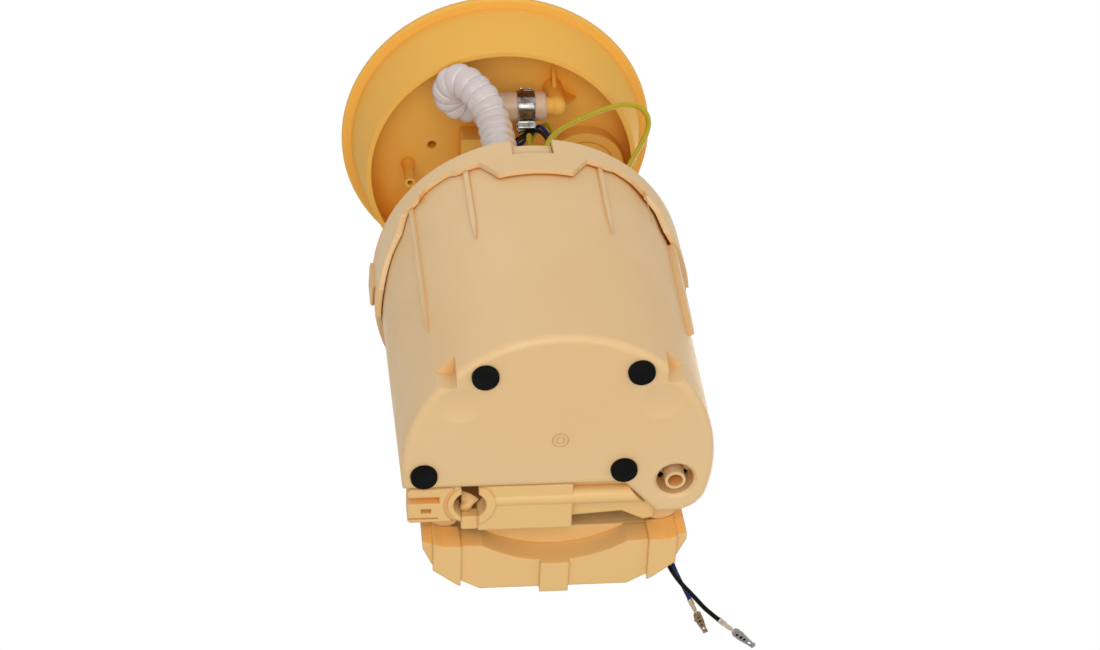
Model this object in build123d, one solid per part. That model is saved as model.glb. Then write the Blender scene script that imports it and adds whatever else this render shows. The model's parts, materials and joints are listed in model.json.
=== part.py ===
from build123d import *
import math
import os

# In-tank fuel pump module. Millimetres, +Z up. The origin is on the flange's axis, level with the
# undersides of the rubber feet. -Y is the rounded front of the reservoir, +Y the filter side.

# Reservoir: a D-shaped vessel with a drafted front wall and a lobe that holds the inlet.
foot_height = 2.0
foot_radius = 5.1
foot_recess = 0.5
foot_places = [(-25.9, -43.6), (32.5, -43.9), (-48.3, 2.0), (28.2, 1.7)]
pot_x = 3.1
pot_y = -0.4
pot_radius_base = 60.0
pot_radius_top = 62.4
pot_height = 129.0
pot_wall = 2.0
pot_floor = 2.6
pot_edge_round = 3.0
pot_top = foot_height + pot_height
flat_y = 9.2
flat_end_x = 28.6
lobe_x = 41.7
lobe_y = 24.2
lobe_corner_radius = 13.0
rib_width = 2.2
rib_proud = 1.3
rib_marks = [(-51.5, 40.0), (-25.7, 77.0), (25.7, 78.0)]
rail_angle = 64.0
rail_width = 3.4
rail_proud = 2.6
rail_top = 110.0
notch_half = 39.7
notch_y = -38.4
notch_height = 10.7
notch_reach = 14.0
dimple_places = [(-35.0, -30.5), (41.3, -29.9)]
dimple_radius = 8.0
dimple_depth = 0.8
gate_place = (3.3, -12.8)
gate_rings = [3.2, 1.7]
gate_depth = 0.25
sender_rail_xs = [-46.0, 14.0]
sender_rail_width = 2.4
sender_rail_proud = 3.0

# Suction jet pump along the foot of the flat wall.
jet_y = 16.4
jet_radius = 3.7
jet_bore = 2.2

# Inlet in the lobe: a stub in an open hole, with an annular flap valve above it.
inlet_x = 48.5
inlet_y = 8.3
inlet_hole_radius = 7.25
stub_radius = 4.0
stub_bore = 2.9
stub_top = 24.0
cage_radius = 10.0
cage_z = 12.0
cage_thickness = 2.0
flap_thickness = 1.2
flap_lift = 1.6
running_clearance = 0.06
seat_gap = 0.3
valve_gap = 0.05

# Cover: a shallow round cap that closes the reservoir and the filter housing.
cover_x = 3.55
cover_radius = 65.25
cover_wall = 2.3
cover_plate = 2.2
cover_under = pot_top + 3.8
cover_top = cover_under + cover_plate
skirt_low = cover_top - 19.0
tongue_z = cover_top - 24.4
tongue_half = 15.0
skirt_front_z = cover_top - 11.8
skirt_raised_z = cover_top - 8.8
window_half = 8.4
window_depth = 11.8
outline_round = 1.4
catch_angle = -88.0
catch_width = 9.0
catch_proud = 1.6
catch_height = 19.0

# Filter housing behind the reservoir, standing level with the feet.
filter_front_y = 37.8
filter_back_y = 59.0
filter_half = 51.6
filter_wall = 2.0
filter_cap_height = 11.0
filter_rib = 2.0
filter_rib_proud = 1.2
filter_pocket_y = 46.1
filter_pocket_half = 28.2
neck_inset = 3.0
element_gap = 4.0

# Ear on the cover's skirt with the grommet for the sender leads.
wire_ear_place = (50.3, 52.2)
wire_ear_turn = -42.0
grommet_low = skirt_low - 3.5

# Grommet in the cover for the looped wire, and the cut-out for the hose side of the harness.
harness_cut = (9.0, 30.0, -46.0, -27.0)
cover_grommet_place = (44.0, -28.0)
cover_grommet_neck = 2.6

# Guide tubes, rods and springs that carry the flange.
guide_x = 42.7
guide_y = 30.4
guide_tube_radius = 6.0
guide_tube_bore = 4.2
guide_tube_low = 13.4
rod_radius = 3.0
rod_low = cover_top - 45.0
spring_wire = 0.8
spring_radius = 5.0
spring_turns = 8
flange_travel = 30.0

# Flange: an outer lip, a deep conical plug and a recessed plate.
lip_radius = 70.4
lip_z = cover_top + 111.8
lip_thickness = 3.4
cone_radius_top = lip_radius - 4.4
cone_radius_low = lip_radius - 9.8
cone_low_z = lip_z - 30.3
cone_wall = 2.2
plate_z = lip_z - 11.8
plate_thickness = 3.0
plate_top = plate_z + plate_thickness
rod_boss_radius = 5.0
rod_boss_low = lip_z - 34.8
rod_socket_depth = 18.0

# Fuel outlet: a barb under the plate, an elbow, and a quick-connector spigot above it.
outlet_x = 23.4
outlet_y = -32.6
barb_z = cone_low_z + 1.5
barb_end_x = -2.0
barb_radius = 4.1
elbow_radius = 4.4
outlet_bore = 2.6
spigot_radius = 3.95
spigot_bead = 5.0
spigot_z = lip_z + 13.2
spigot_end_x = 54.0
spigot_reach = 13.0
cuff_radius = 6.0
hose_radius = 7.5
clamp_x = 9.3
clamp_width = 7.0
clamp_thickness = 0.7
outlet_webs = [(30.0, -2.0, 13.0), (-90.0, 3.0, 12.0)]

# Vent valve cap and electrical connector.
vent_radius = 18.3
vent_x = cone_radius_low - cone_wall - vent_radius - 1.3
vent_y = 6.4
vent_low = plate_z - 7.0
screw_boss_place = (-41.0, 5.6)
screw_boss_length = 17.5
blind_hole_place = (-30.1, -3.3)
plug_x = -4.0
plug_y = -3.0
plug_length = 28.0
plug_width = 20.0
plug_low = plate_z - 12.0
socket_height = 20.0
socket_wall = 1.8
pin_count = 4
pin_pitch = 5.0
pin_size = 1.6

# Pump unit inside the reservoir.
pump_x = 2.0
pump_y = -26.5
pump_radius = 19.0
pump_shell_wall = 1.2
pump_low = 18.0
pump_length = 78.0
pump_cap = 8.0
pump_top = pump_low + pump_length + pump_cap
pump_plug_top = pump_top + 10.0
shaft_radius = 1.6
armature_radius = 12.2
armature_slots = 8
magnet_gap = 0.5
impeller_radius = 15.5
impeller_thickness = 3.0
impeller_blades = 24
nipple_x = -5.0
nipple_y = -34.5
nipple_height = 14.0
nipple_radius = 4.1
isolator_low = 34.0
isolator_height = 16.0
isolator_thickness = 2.6
holder_wall = 2.0

base_z = foot_height
floor_z = base_z + pot_floor


def about_pot(part, angle):
    """Turn a part made at the front of the reservoir to an angle around it, positive to the right."""
    return Pos(pot_x, pot_y) * Rot(0, 0, angle) * part


def ring(outer, inner, low, high):
    """Upright tube between two heights."""
    return Pos(0, 0, low) * extrude(Circle(outer) - Circle(inner), high - low)


def disc(radius, low, high):
    """Upright cylinder between two heights."""
    return Pos(0, 0, low) * extrude(Circle(radius), high - low)


def block(x0, x1, y0, y1, z0, z1):
    """Box given by its corners."""
    return Pos((x0 + x1) / 2, (y0 + y1) / 2, (z0 + z1) / 2) * Box(x1 - x0, y1 - y0, z1 - z0)


def pot_wall_radius(z):
    """Outer radius of the drafted front wall at a height."""
    share = (z - base_z) / pot_height
    return pot_radius_base + share * (pot_radius_top - pot_radius_base)


def pot_plan(radius, inset, z):
    """D-shaped plan of the reservoir with its rounded inlet lobe, at a height."""
    far = 2 * radius
    behind = Polygon(
        (-far, flat_y), (flat_end_x, flat_y), (lobe_x, lobe_y), (far, lobe_y), (far, far), (-far, far),
        align=None,
    )
    plan = Pos(pot_x, pot_y) * Circle(radius) - behind
    corner = plan.vertices().sort_by(Axis.X)[-1]
    plan = fillet(corner, lobe_corner_radius)
    if inset:
        plan = offset(plan, -inset, kind=Kind.INTERSECTION)
    return Pos(0, 0, z) * plan


def wall_rib(angle, low, high, width, proud):
    """Upright rib on the drafted front wall, tapering to a point at its lower end."""
    draft = math.degrees(math.atan((pot_radius_top - pot_radius_base) / pot_height))
    length = high - low
    face = Polygon(
        (-width / 2, length), (-width / 2, length * 0.25), (-0.2, 0), (0.2, 0),
        (width / 2, length * 0.25), (width / 2, length), align=None,
    )
    radius = pot_wall_radius(low)
    upright = Plane((0, -radius + pot_wall / 2, low), x_dir=(1, 0, 0), z_dir=(0, -1, 0))
    rib = upright * Rot(draft, 0, 0) * extrude(face, pot_wall / 2 + proud)
    return about_pot(rib, angle)


def make_pot():
    """Open-topped vessel with its floor, inlet hole, ribs, notches and sender rails."""
    outer = loft([pot_plan(pot_radius_base, 0, base_z), pot_plan(pot_radius_top, 0, pot_top)])
    outer = fillet(outer.edges().group_by(Axis.Z)[0], pot_edge_round)
    inner = loft([
        pot_plan(pot_radius_base, pot_wall, floor_z),
        pot_plan(pot_radius_top, pot_wall, pot_top + 0.01),
    ])
    pot = outer - inner
    for angle, low in rib_marks:
        pot += wall_rib(angle, low, skirt_front_z - 0.4, rib_width, rib_proud)
    pot += wall_rib(rail_angle, base_z + 46, rail_top, rail_width, rail_proud)
    for x in sender_rail_xs:
        pot += block(
            x - sender_rail_width / 2, x + sender_rail_width / 2,
            flat_y - 0.5, flat_y + sender_rail_proud, base_z + 24, skirt_low - 4,
        )
    collar = ring(inlet_hole_radius + pot_wall, inlet_hole_radius, floor_z - 0.1, cage_z)
    pot += Pos(inlet_x, inlet_y) * collar
    pot -= Pos(inlet_x, inlet_y) * disc(inlet_hole_radius, 0, cage_z)
    pot -= Pos(inlet_x, inlet_y, base_z) * Cone(
        inlet_hole_radius + 1.2, inlet_hole_radius, 1.2, align=(Align.CENTER, Align.CENTER, Align.MIN))
    for side in (-1, 1):
        # square pocket in the lower corner, walled off from the inside
        near_x = pot_x + side * notch_half
        far_x = near_x + side * notch_reach
        lining = block(
            min(near_x - side * pot_wall, far_x), max(near_x - side * pot_wall, far_x),
            notch_y - notch_reach, notch_y + pot_wall, base_z, base_z + notch_height + pot_wall,
        )
        pot += lining & inner
        pocket = block(
            min(near_x, far_x), max(near_x, far_x), notch_y - notch_reach, notch_y,
            base_z - 1, base_z + notch_height,
        )
        corner = pocket.edges().filter_by(Axis.Z).sort_by(SortBy.DISTANCE)[0]
        pot -= fillet(corner, 1.0)
    for x, y in dimple_places:
        ball = (dimple_radius ** 2 + dimple_depth ** 2) / (2 * dimple_depth)
        pot -= Pos(x, y, base_z + dimple_depth - ball) * Sphere(ball)
    for x, y in foot_places:
        pot -= Pos(x, y) * disc(foot_radius + 0.05, base_z - 1, base_z + foot_recess)
    for radius in gate_rings:
        pot -= Pos(*gate_place) * ring(radius, radius - 0.4, base_z - 1, base_z + gate_depth)
    return pot


def make_feet():
    """Four round rubber pads in shallow recesses of the floor."""
    foot = fillet(disc(foot_radius, 0, base_z + foot_recess).edges().group_by(Axis.Z)[0], 0.4)
    return Compound(children=[Pos(x, y) * foot for x, y in foot_places])


def make_inlet_stub():
    """Stub with a windowed disc that sits on the inlet's collar, and a collar that stops the flap."""
    stub = disc(stub_radius, base_z, stub_top) + disc(cage_radius, cage_z, cage_z + cage_thickness)
    window = Pos(6.6, 0, cage_z) * Box(3.0, 4.6, 3 * cage_thickness)
    for index in range(4):
        stub -= Rot(0, 0, 45 + 90 * index) * window
    stop_z = cage_z + cage_thickness + flap_thickness + flap_lift + 0.2
    stub += ring(stub_radius + 2.2, stub_radius, stop_z, stop_z + 1.6)
    stub -= disc(stub_bore, base_z - 1, stub_top + 1)
    return Pos(inlet_x, inlet_y) * stub


def make_inlet_flap():
    """Annular rubber flap that lies on the windows and lifts when fuel flows in."""
    low = cage_z + cage_thickness + valve_gap
    flap = ring(cage_radius - 0.6, stub_radius + running_clearance, low, low + flap_thickness)
    return Pos(inlet_x, inlet_y) * flap


def skirt_cutter(points, direction):
    """Prism that trims the skirt's lower edge: a side view outline pushed out through the wall."""
    planes = {
        "front": Plane((pot_x, pot_y - 30, 0), x_dir=(1, 0, 0), z_dir=(0, -1, 0)),
        "left": Plane((pot_x - 30, pot_y, 0), x_dir=(0, -1, 0), z_dir=(-1, 0, 0)),
        "right": Plane((pot_x + 30, pot_y, 0), x_dir=(0, 1, 0), z_dir=(1, 0, 0)),
    }
    outline = Polygon(*points, align=None)
    low = min(z for across, z in points)
    reach = max(abs(across) for across, z in points)
    steps = [v for v in outline.vertices() if v.Y > low + 1 and abs(v.X) < reach - 1]
    outline = fillet(steps, outline_round)
    return planes[direction] * extrude(outline, 50, dir=(0, 0, 1))


def make_cover():
    """Round cap with a skirt whose lower edge steps around the reservoir's ribs."""
    low = tongue_z - 12.6
    cap = disc(cover_radius, low, cover_top)
    cap = fillet(cap.edges().group_by(Axis.Z)[-1], 1.2)
    cap -= disc(cover_radius - cover_wall, low - 1, cover_under)
    cap = Pos(cover_x, pot_y) * cap
    edge = cover_radius * math.sin(math.radians(45))
    below = low - 10.0
    front = [
        (-edge, below), (-edge, skirt_raised_z - 2), (-43.5, skirt_raised_z), (-34, skirt_raised_z),
        (-31.0, skirt_front_z + 0.6), (-tongue_half - 7, skirt_front_z), (-tongue_half, tongue_z),
        (tongue_half, tongue_z), (tongue_half + 7, skirt_front_z), (30.5, skirt_front_z + 0.6),
        (33.5, skirt_raised_z - 0.6), (41, skirt_raised_z - 1.2), (edge, skirt_raised_z - 4),
        (edge, below),
    ]
    left = [
        (edge + 0.01, below), (edge + 0.01, skirt_raised_z - 3), (36.5, skirt_front_z),
        (32.5, skirt_low - 1), (24, skirt_low - 4), (12, skirt_low - 10.5),
        (-1, skirt_low - 12), (-5, skirt_low),
        (-cover_radius, skirt_low), (-cover_radius, below),
    ]
    right = [
        (-edge - 0.01, below), (-edge - 0.01, skirt_raised_z - 4), (-38, skirt_low + 2.5),
        (-34.5, skirt_low - 6.5), (-29, skirt_low - 7.5), (-7, skirt_low - 7.5), (-4, skirt_low),
        (cover_radius, skirt_low), (cover_radius, below),
    ]
    cap -= skirt_cutter(front, "front")
    cap -= skirt_cutter(left, "left")
    cap -= skirt_cutter(right, "right")
    cap -= block(pot_x - 36, pot_x + 36, pot_y + 30, pot_y + cover_radius + 1, below, skirt_low)
    cap -= block(
        pot_x - window_half, pot_x + window_half, pot_y - cover_radius - 1, pot_y - cover_radius + 5.5,
        cover_top - window_depth, cover_top + 1,
    )
    cap -= Pos(nipple_x, nipple_y) * disc(hose_radius + 3.0, cover_under - 1, cover_top + 1)
    cap -= block(*harness_cut, cover_under - 1, cover_top + 1)
    cap -= Pos(*cover_grommet_place) * disc(cover_grommet_neck, cover_under - 1, cover_top + 1)
    ear = Pos(*wire_ear_place, skirt_low) * Rot(0, 0, wire_ear_turn) * extrude(
        fillet(Rectangle(12.6, 10.5).vertices(), 2.5), 9.0)
    bowl = Pos(cover_x, pot_y) * disc(cover_radius - cover_wall, low, cover_under)
    cap += ear - bowl
    cap += make_catch() - bowl
    cap -= make_wire_grommet()
    for x in (-guide_x, guide_x):
        boss = disc(rod_radius + 2.6, cover_under, cover_top + 3.0)
        cap += Pos(pot_x + x, guide_y) * boss
        bore = disc(rod_radius + running_clearance, cover_under - 1, cover_top + 4)
        cap -= Pos(pot_x + x, guide_y) * bore
    return cap


def make_catch():
    """Snap catch on the skirt's left side: a bowed tab with a slot and a hooked lower end."""
    inner = cover_radius - cover_wall + 0.2
    outer = cover_radius + catch_proud
    low = cover_top - 1.2 - catch_height
    profile = Polygon(
        (inner, low + 4.0), (outer - 0.8, low), (outer, low + 1.6), (outer, cover_top - 5.0),
        (outer - 0.6, cover_top - 1.2), (inner, cover_top - 1.2), align=None,
    )
    tab = Plane((0, -catch_width / 2, 0), x_dir=(1, 0, 0), z_dir=(0, -1, 0)) * extrude(
        profile, catch_width, dir=(0, 0, -1))
    tab -= block(outer - 1.0, outer + 1, -catch_width / 4, catch_width / 4, low + 6.0, cover_top - 6.0)
    return Pos(cover_x, pot_y) * Rot(0, 0, catch_angle - 90) * tab


def rear_plan(front_y, grow):
    """Plan of the filter housing: a straight front and a faceted back inside the cover's circle."""
    right = [
        (filter_half + grow, front_y - 3.2 - grow), (filter_half + grow, front_y),
        (filter_half - 3.4 + grow, front_y + 7.5 + grow * 0.6), (37.7 + grow * 0.7, 54.0 + grow * 0.7),
        (29.0, filter_back_y + grow),
    ]
    front = [(47.0, front_y - 1.8 - grow), (44.0, front_y - 0.6 - grow), (28.2, front_y - grow)]
    points = right + [(-x, y) for x, y in reversed(right)] + [(-x, y) for x, y in front] + front[::-1]
    return Pos(pot_x, pot_y) * make_face(Polyline(*points, close=True))


def make_filter_cap():
    """Lower lid of the filter housing, with a concave front pocket and three standing ribs."""
    top = base_z + filter_cap_height
    lid = Pos(0, 0, base_z) * extrude(rear_plan(filter_front_y, 0), filter_cap_height)
    depth = filter_pocket_y - filter_front_y
    sweep_radius = (filter_pocket_half ** 2 + depth ** 2) / (2 * depth)
    pocket = Pos(pot_x, pot_y + filter_pocket_y - sweep_radius) * disc(sweep_radius, 0, top)
    bands = extrude(rear_plan(filter_front_y, filter_rib_proud), top)
    ribs = bands & block(pot_x - 5.6, pot_x + 5.6, 30, 70, 0, top)
    for side in (-1, 1):
        inner_x = pot_x + side * 36.7
        outer_x = pot_x + side * 47.6
        ribs += bands & block(min(inner_x, outer_x), max(inner_x, outer_x), 30, 70, 0, top)
    lid = lid + ribs - pocket
    inside = offset(rear_plan(filter_pocket_y, -2), -filter_wall)
    lid -= Pos(0, 0, base_z + filter_wall) * extrude(inside, top)
    return lid


def make_filter_housing():
    """Tall canister above the lid, with a neck that reaches up inside the cover's skirt."""
    low = base_z + filter_cap_height
    shell = Pos(0, 0, low) * extrude(rear_plan(filter_front_y, 0), skirt_low - low)
    neck_plan = offset(rear_plan(filter_front_y, 0), -neck_inset, kind=Kind.INTERSECTION)
    neck = Pos(0, 0, skirt_low - 1) * extrude(neck_plan, cover_under - skirt_low + 1)
    bowl_radius = cover_radius - cover_wall - seat_gap
    shell += neck & Pos(cover_x, pot_y) * disc(bowl_radius, skirt_low - 1, cover_under)
    hollow = offset(rear_plan(filter_front_y, 0), -filter_wall, kind=Kind.INTERSECTION)
    shell -= Pos(0, 0, low + filter_wall) * extrude(hollow, skirt_low - low - 2 * filter_wall)
    throat = offset(rear_plan(filter_front_y, 0), -neck_inset - filter_wall, kind=Kind.INTERSECTION)
    throat_height = cover_under - skirt_low + filter_wall
    shell -= Pos(0, 0, skirt_low - 2 * filter_wall) * extrude(throat, throat_height)
    return shell


def make_filter_element():
    """Folded filter paper pack standing in the canister."""
    low = base_z + filter_cap_height + filter_wall
    plan = offset(rear_plan(filter_front_y, 0), -filter_wall - element_gap, kind=Kind.INTERSECTION)
    return Pos(0, 0, low) * extrude(plan, skirt_low - low - 3 * filter_wall)


def make_guide_tube(side):
    """Closed-ended guide tube that hangs from the cover in front of the filter housing."""
    tube = disc(guide_tube_radius, guide_tube_low, cover_under)
    tube -= disc(guide_tube_bore, guide_tube_low + 3, cover_under + 1)
    return Pos(pot_x + side * guide_x, guide_y) * tube


def make_guide_rod(side):
    """Steel rod pressed into the flange's boss and sliding in the cover's bush."""
    rod = chamfer(disc(rod_radius, rod_low, rod_boss_low + rod_socket_depth).edges(), 0.5)
    return Pos(pot_x + side * guide_x, guide_y) * rod


def make_spring(side):
    """Open compression spring around a guide rod."""
    low = cover_top + 3.0 + spring_wire + seat_gap / 2
    high = rod_boss_low - spring_wire - seat_gap / 2
    path = Helix((high - low) / spring_turns, high - low, spring_radius)
    profile = Plane(path @ 0, z_dir=path % 0) * Circle(spring_wire)
    coil = sweep(profile, path)
    return Pos(pot_x + side * guide_x, guide_y, low) * coil


def make_sender_mount():
    """Slotted clip block for the level sender at the foot of the reservoir's flat wall."""
    low = base_z + 0.5
    mount = block(-54.4, -33.8, flat_y, 24.9, low, low + 10)
    mount = chamfer(mount.edges().filter_by(Axis.Z).group_by(Axis.X)[0], 1.0)
    mount -= block(-56, -42.2, 13.0, 16.0, 0, low + 6)
    mount -= block(-56, -42.8, 22.9, 23.7, 0, low + 6)
    mount -= block(-49.2, -45.4, 18.7, 20.8, 0, low + 8)
    mount -= Pos(-30.5, 17.3) * disc(6.3, 0, 20)
    mount -= Pos(-30.5, 17.3) * (disc(10.0, 0, low + 1.0) - disc(8.6, 0, low + 1.0))
    return mount


def make_jet_pump():
    """Suction jet pump: a half-sunk tube, a keyhole boss and two carrier plates on the flat wall."""
    low = base_z + 1.0
    plate = block(-27.1, 9.2, flat_y, 30.2, low, low + 6)
    plate += block(-33.6, -27.1, 24.0, 30.2, low + 1, low + 6)
    plate = fillet(plate.edges().filter_by(Axis.Z).sort_by(SortBy.DISTANCE)[-1:], 1.0)
    plate += Pos(-30.5, 17.3) * disc(10.0, base_z, low + 8) & block(-27.1, -10, flat_y, 40, 0, 30)
    plate -= Pos(-30.5, 17.3) * disc(6.3, 0, 30)
    shelf = Polygon(
        (9.0, flat_y), (9.0, 27.8), (29.2, 26.4), (37.8, 30.9), (41.6, 30.2), (42.6, lobe_y + seat_gap),
        (lobe_x - 0.3, lobe_y + seat_gap), (flat_end_x - 0.2, flat_y + 0.1), align=None,
    )
    plate += Pos(0, 0, base_z + 5.5) * extrude(shelf, 4.5, dir=(0, 0, 1))
    # the jet tube ends in a slant against the lobe's wall
    start = Plane((-22.0, jet_y, base_z + 4.0), x_dir=(0, 1, 0), z_dir=(1, 0, 0))
    beyond = Polygon(
        (flat_end_x - seat_gap, 0), (flat_end_x - seat_gap, flat_y),
        (lobe_x - seat_gap, lobe_y + seat_gap), (2 * lobe_x, lobe_y + seat_gap), (2 * lobe_x, 0),
        align=None,
    )
    plate += start * extrude(Circle(jet_radius), 2 * lobe_x) - extrude(beyond, 30, dir=(0, 0, 1))
    plate -= start * extrude(Circle(jet_bore), 47)
    return plate


def make_jet_nozzle():
    """Brass nozzle pressed into the jet pump's tube."""
    start = Plane((-20.0, jet_y, base_z + 4.0), x_dir=(0, 1, 0), z_dir=(1, 0, 0))
    return start * (extrude(Circle(jet_bore), 12) - extrude(Circle(0.6), 12))


def cone_radius(z):
    """Outer radius of the flange's conical plug at a height."""
    share = (z - cone_low_z) / (lip_z - cone_low_z)
    return cone_radius_low + share * (cone_radius_top - cone_radius_low)


def along_x(radius, x0, x1, y, z):
    """Cylinder lying along X."""
    return Plane((x0, y, z), x_dir=(0, 1, 0), z_dir=(1, 0, 0)) * extrude(Circle(radius), x1 - x0)


def gusset(points, thickness, place, angle):
    """Triangular web under the plate: an (out, height) outline, thickened, turned and placed."""
    face = Plane.XZ * Polygon(*points, align=None)
    return place * Rot(0, 0, angle) * extrude(face, thickness / 2, both=True)


def make_flange():
    """Lip, conical plug and recessed plate in one moulding, with the outlet, bosses and plug housing."""
    top = lip_z + lip_thickness
    section = Polygon(
        (0, plate_z), (cone_radius(plate_z) - cone_wall, plate_z),
        (cone_radius_low - cone_wall, cone_low_z), (cone_radius_low, cone_low_z),
        (cone_radius_top, lip_z), (lip_radius, lip_z), (lip_radius, top),
        (cone_radius_top - cone_wall, top),
        (cone_radius(plate_top) - cone_wall, plate_top), (0, plate_top), align=None,
    )
    section = fillet(section.vertices().sort_by(Axis.X)[-2:], 1.0)
    flange = revolve(Plane.XZ * section, Axis.Z)
    # rod bosses
    for side in (-1, 1):
        place = Pos(pot_x + side * guide_x, guide_y)
        boss = place * disc(rod_boss_radius, rod_boss_low, plate_z + 1)
        flange += boss & disc(cone_radius_low, rod_boss_low, plate_z + 1)
        flange -= place * disc(rod_radius, rod_boss_low - 1, rod_boss_low + rod_socket_depth)
    # fuel outlet
    riser = Pos(outlet_x, outlet_y) * disc(elbow_radius, barb_z, spigot_z)
    outlet = riser + Pos(outlet_x, outlet_y, barb_z) * Sphere(elbow_radius)
    outlet += Pos(outlet_x, outlet_y, spigot_z) * Sphere(elbow_radius)
    outlet += along_x(barb_radius, barb_end_x, outlet_x, outlet_y, barb_z)
    outlet += along_x(spigot_radius, outlet_x, spigot_end_x, outlet_y, spigot_z)
    bead_x = spigot_end_x - spigot_reach
    outlet += along_x(spigot_bead, bead_x - 2, bead_x, outlet_y, spigot_z)
    for angle, low, reach in outlet_webs:
        web = [(0, barb_z + low), (reach, plate_z + 1), (0, plate_z + 1)]
        outlet += gusset(web, 1.8, Pos(outlet_x, outlet_y), angle)
    flange += outlet
    flange -= along_x(outlet_bore, barb_end_x - 1, outlet_x, outlet_y, barb_z)
    flange -= along_x(outlet_bore, outlet_x, spigot_end_x + 1, outlet_y, spigot_z)
    flange -= Pos(outlet_x, outlet_y) * disc(outlet_bore, barb_z, spigot_z)
    # screw boss and blind hole in the plate
    screw_low = plate_z - screw_boss_length
    screw_boss = disc(2.4, screw_low, plate_z + 1) - disc(1.2, screw_low - 1, plate_z - 7)
    flange += Pos(*screw_boss_place) * screw_boss
    flare = Cone(2.4, 3.2, 5.5, align=(Align.CENTER, Align.CENTER, Align.MIN))
    flange += Pos(*screw_boss_place, plate_z - 5) * flare
    flange += Pos(*blind_hole_place) * disc(4.0, plate_z, plate_z + 10)
    flange -= Pos(*blind_hole_place) * disc(1.9, plate_z - 1, plate_z + 8)
    mouth = Cone(2.5, 1.9, 0.6, align=(Align.CENTER, Align.CENTER, Align.MIN))
    flange -= Pos(*blind_hole_place, plate_z - 0.01) * mouth
    # plug housing below the plate and open socket above it
    flange += Pos(plug_x, plug_y, plug_low) * extrude(
        fillet(Rectangle(plug_length, plug_width).vertices(), 1.5), plate_z - plug_low + 1)
    shroud = fillet(Rectangle(plug_length, plug_width).vertices(), 4)
    cavity = offset(shroud, -socket_wall)
    flange += Pos(plug_x, plug_y, plate_top - 1) * extrude(shroud - cavity, socket_height + 1)
    for pin in make_pins().solids():
        flange -= pin
    return flange


def make_pins():
    """Row of flat contact blades that pass through the plate into the socket."""
    blades = []
    for index in range(pin_count):
        x = plug_x + (index - (pin_count - 1) / 2) * pin_pitch
        blades.append(block(
            x - pin_size / 2, x + pin_size / 2, plug_y - 0.4, plug_y + 0.4,
            plate_z - 6, plate_z + plate_thickness + socket_height * 0.6,
        ))
    return Compound(children=blades)


def make_vent_valve():
    """Round cap of the vent valve, welded under the plate."""
    cap = disc(vent_radius, vent_low, plate_z)
    cap = fillet(cap.edges().group_by(Axis.Z)[0], 0.8)
    cap -= ring(vent_radius - 4.2, vent_radius - 4.8, vent_low - 1, vent_low + 0.6)
    cap -= disc(2.5, vent_low - 1, plate_z + 1)
    return Pos(vent_x, vent_y) * cap


def tube_route(points):
    """Straight runs joined by the largest tangent arcs that the runs allow, with the arcs' radii."""
    places = [Vector(*point) for point in points]
    radii = []
    for before, here, after in zip(places, places[1:], places[2:]):
        arriving = here - before
        leaving = after - here
        turn = math.radians(arriving.get_angle(leaving))
        radii.append(0.45 * min(arriving.length, leaving.length) / math.tan(turn / 2))
    return FilletPolyline(*places, radius=radii), radii


def sweep_tube(points, radius, bore=0.0):
    """Tube along a route, checked against section times length."""
    path, radii = tube_route(points)
    section = Circle(radius) - Circle(bore) if bore else Circle(radius)
    tube = sweep(Plane(path @ 0, z_dir=path % 0) * section, path)
    expected = math.pi * (radius ** 2 - bore ** 2) * path.length
    print("tube radii", [round(value, 1) for value in radii])
    print("volume ratio", round(tube.volume / expected, 4))
    return tube


# Route of the hose: out of the barb, round a tight bend against the plug's wall, then down to the pump.
cuff_top = pump_top + nipple_height + 4.0
bend_y = -(cone_radius_low - 18.0)
hose_points = [
    (barb_end_x - 1.0, outlet_y, barb_z), (-19.6, -32.8, barb_z - 0.2), (-26.0, bend_y, barb_z - 4.0),
    (-20.4, bend_y - 10.4, barb_z - 11.4), (-9.6, bend_y - 5.8, barb_z - 22.0),
    (-5.6, -38.4, barb_z - 33.5), (-5.2, -34.8, cover_top + 29.0), (nipple_x, nipple_y, cuff_top),
]


def make_hose():
    """Flexible outlet hose with a plain cuff at each end."""
    hose = sweep_tube(hose_points, hose_radius, hose_radius - 2.0)
    cuff_end = outlet_x - elbow_radius - seat_gap
    cuff_start = barb_end_x - 1.0
    hose += along_x(cuff_radius, cuff_start, cuff_end, outlet_y, barb_z) - along_x(
        barb_radius, cuff_start, cuff_end, outlet_y, barb_z)
    low_cuff = ring(cuff_radius, nipple_radius, pump_top + seat_gap, cuff_top)
    hose += Pos(nipple_x, nipple_y) * low_cuff
    return hose


def make_hose_clamp():
    """Ear clamp: a steel band around the hose's cuff with one raised ear."""
    band = Circle(cuff_radius + clamp_thickness) - Circle(cuff_radius)
    ear = Pos(cuff_radius + 1.9, 0) * (Rectangle(5.4, 5.6) - Pos(-1, 0) * Rectangle(5.6, 4.2))
    keep = Circle(20) - Circle(cuff_radius + clamp_thickness * 0.5)
    section = band + (ear & keep)
    start = Plane((clamp_x - clamp_width / 2, outlet_y, barb_z), x_dir=(0, 0.8, -0.6), z_dir=(1, 0, 0))
    return start * extrude(section, clamp_width)


def make_lower_clamp():
    """Plain clamp band on the hose's lower cuff."""
    low = pump_top + 5.0
    band = ring(cuff_radius + clamp_thickness, cuff_radius, low, low + clamp_width - 1)
    return Pos(nipple_x, nipple_y) * band


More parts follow.
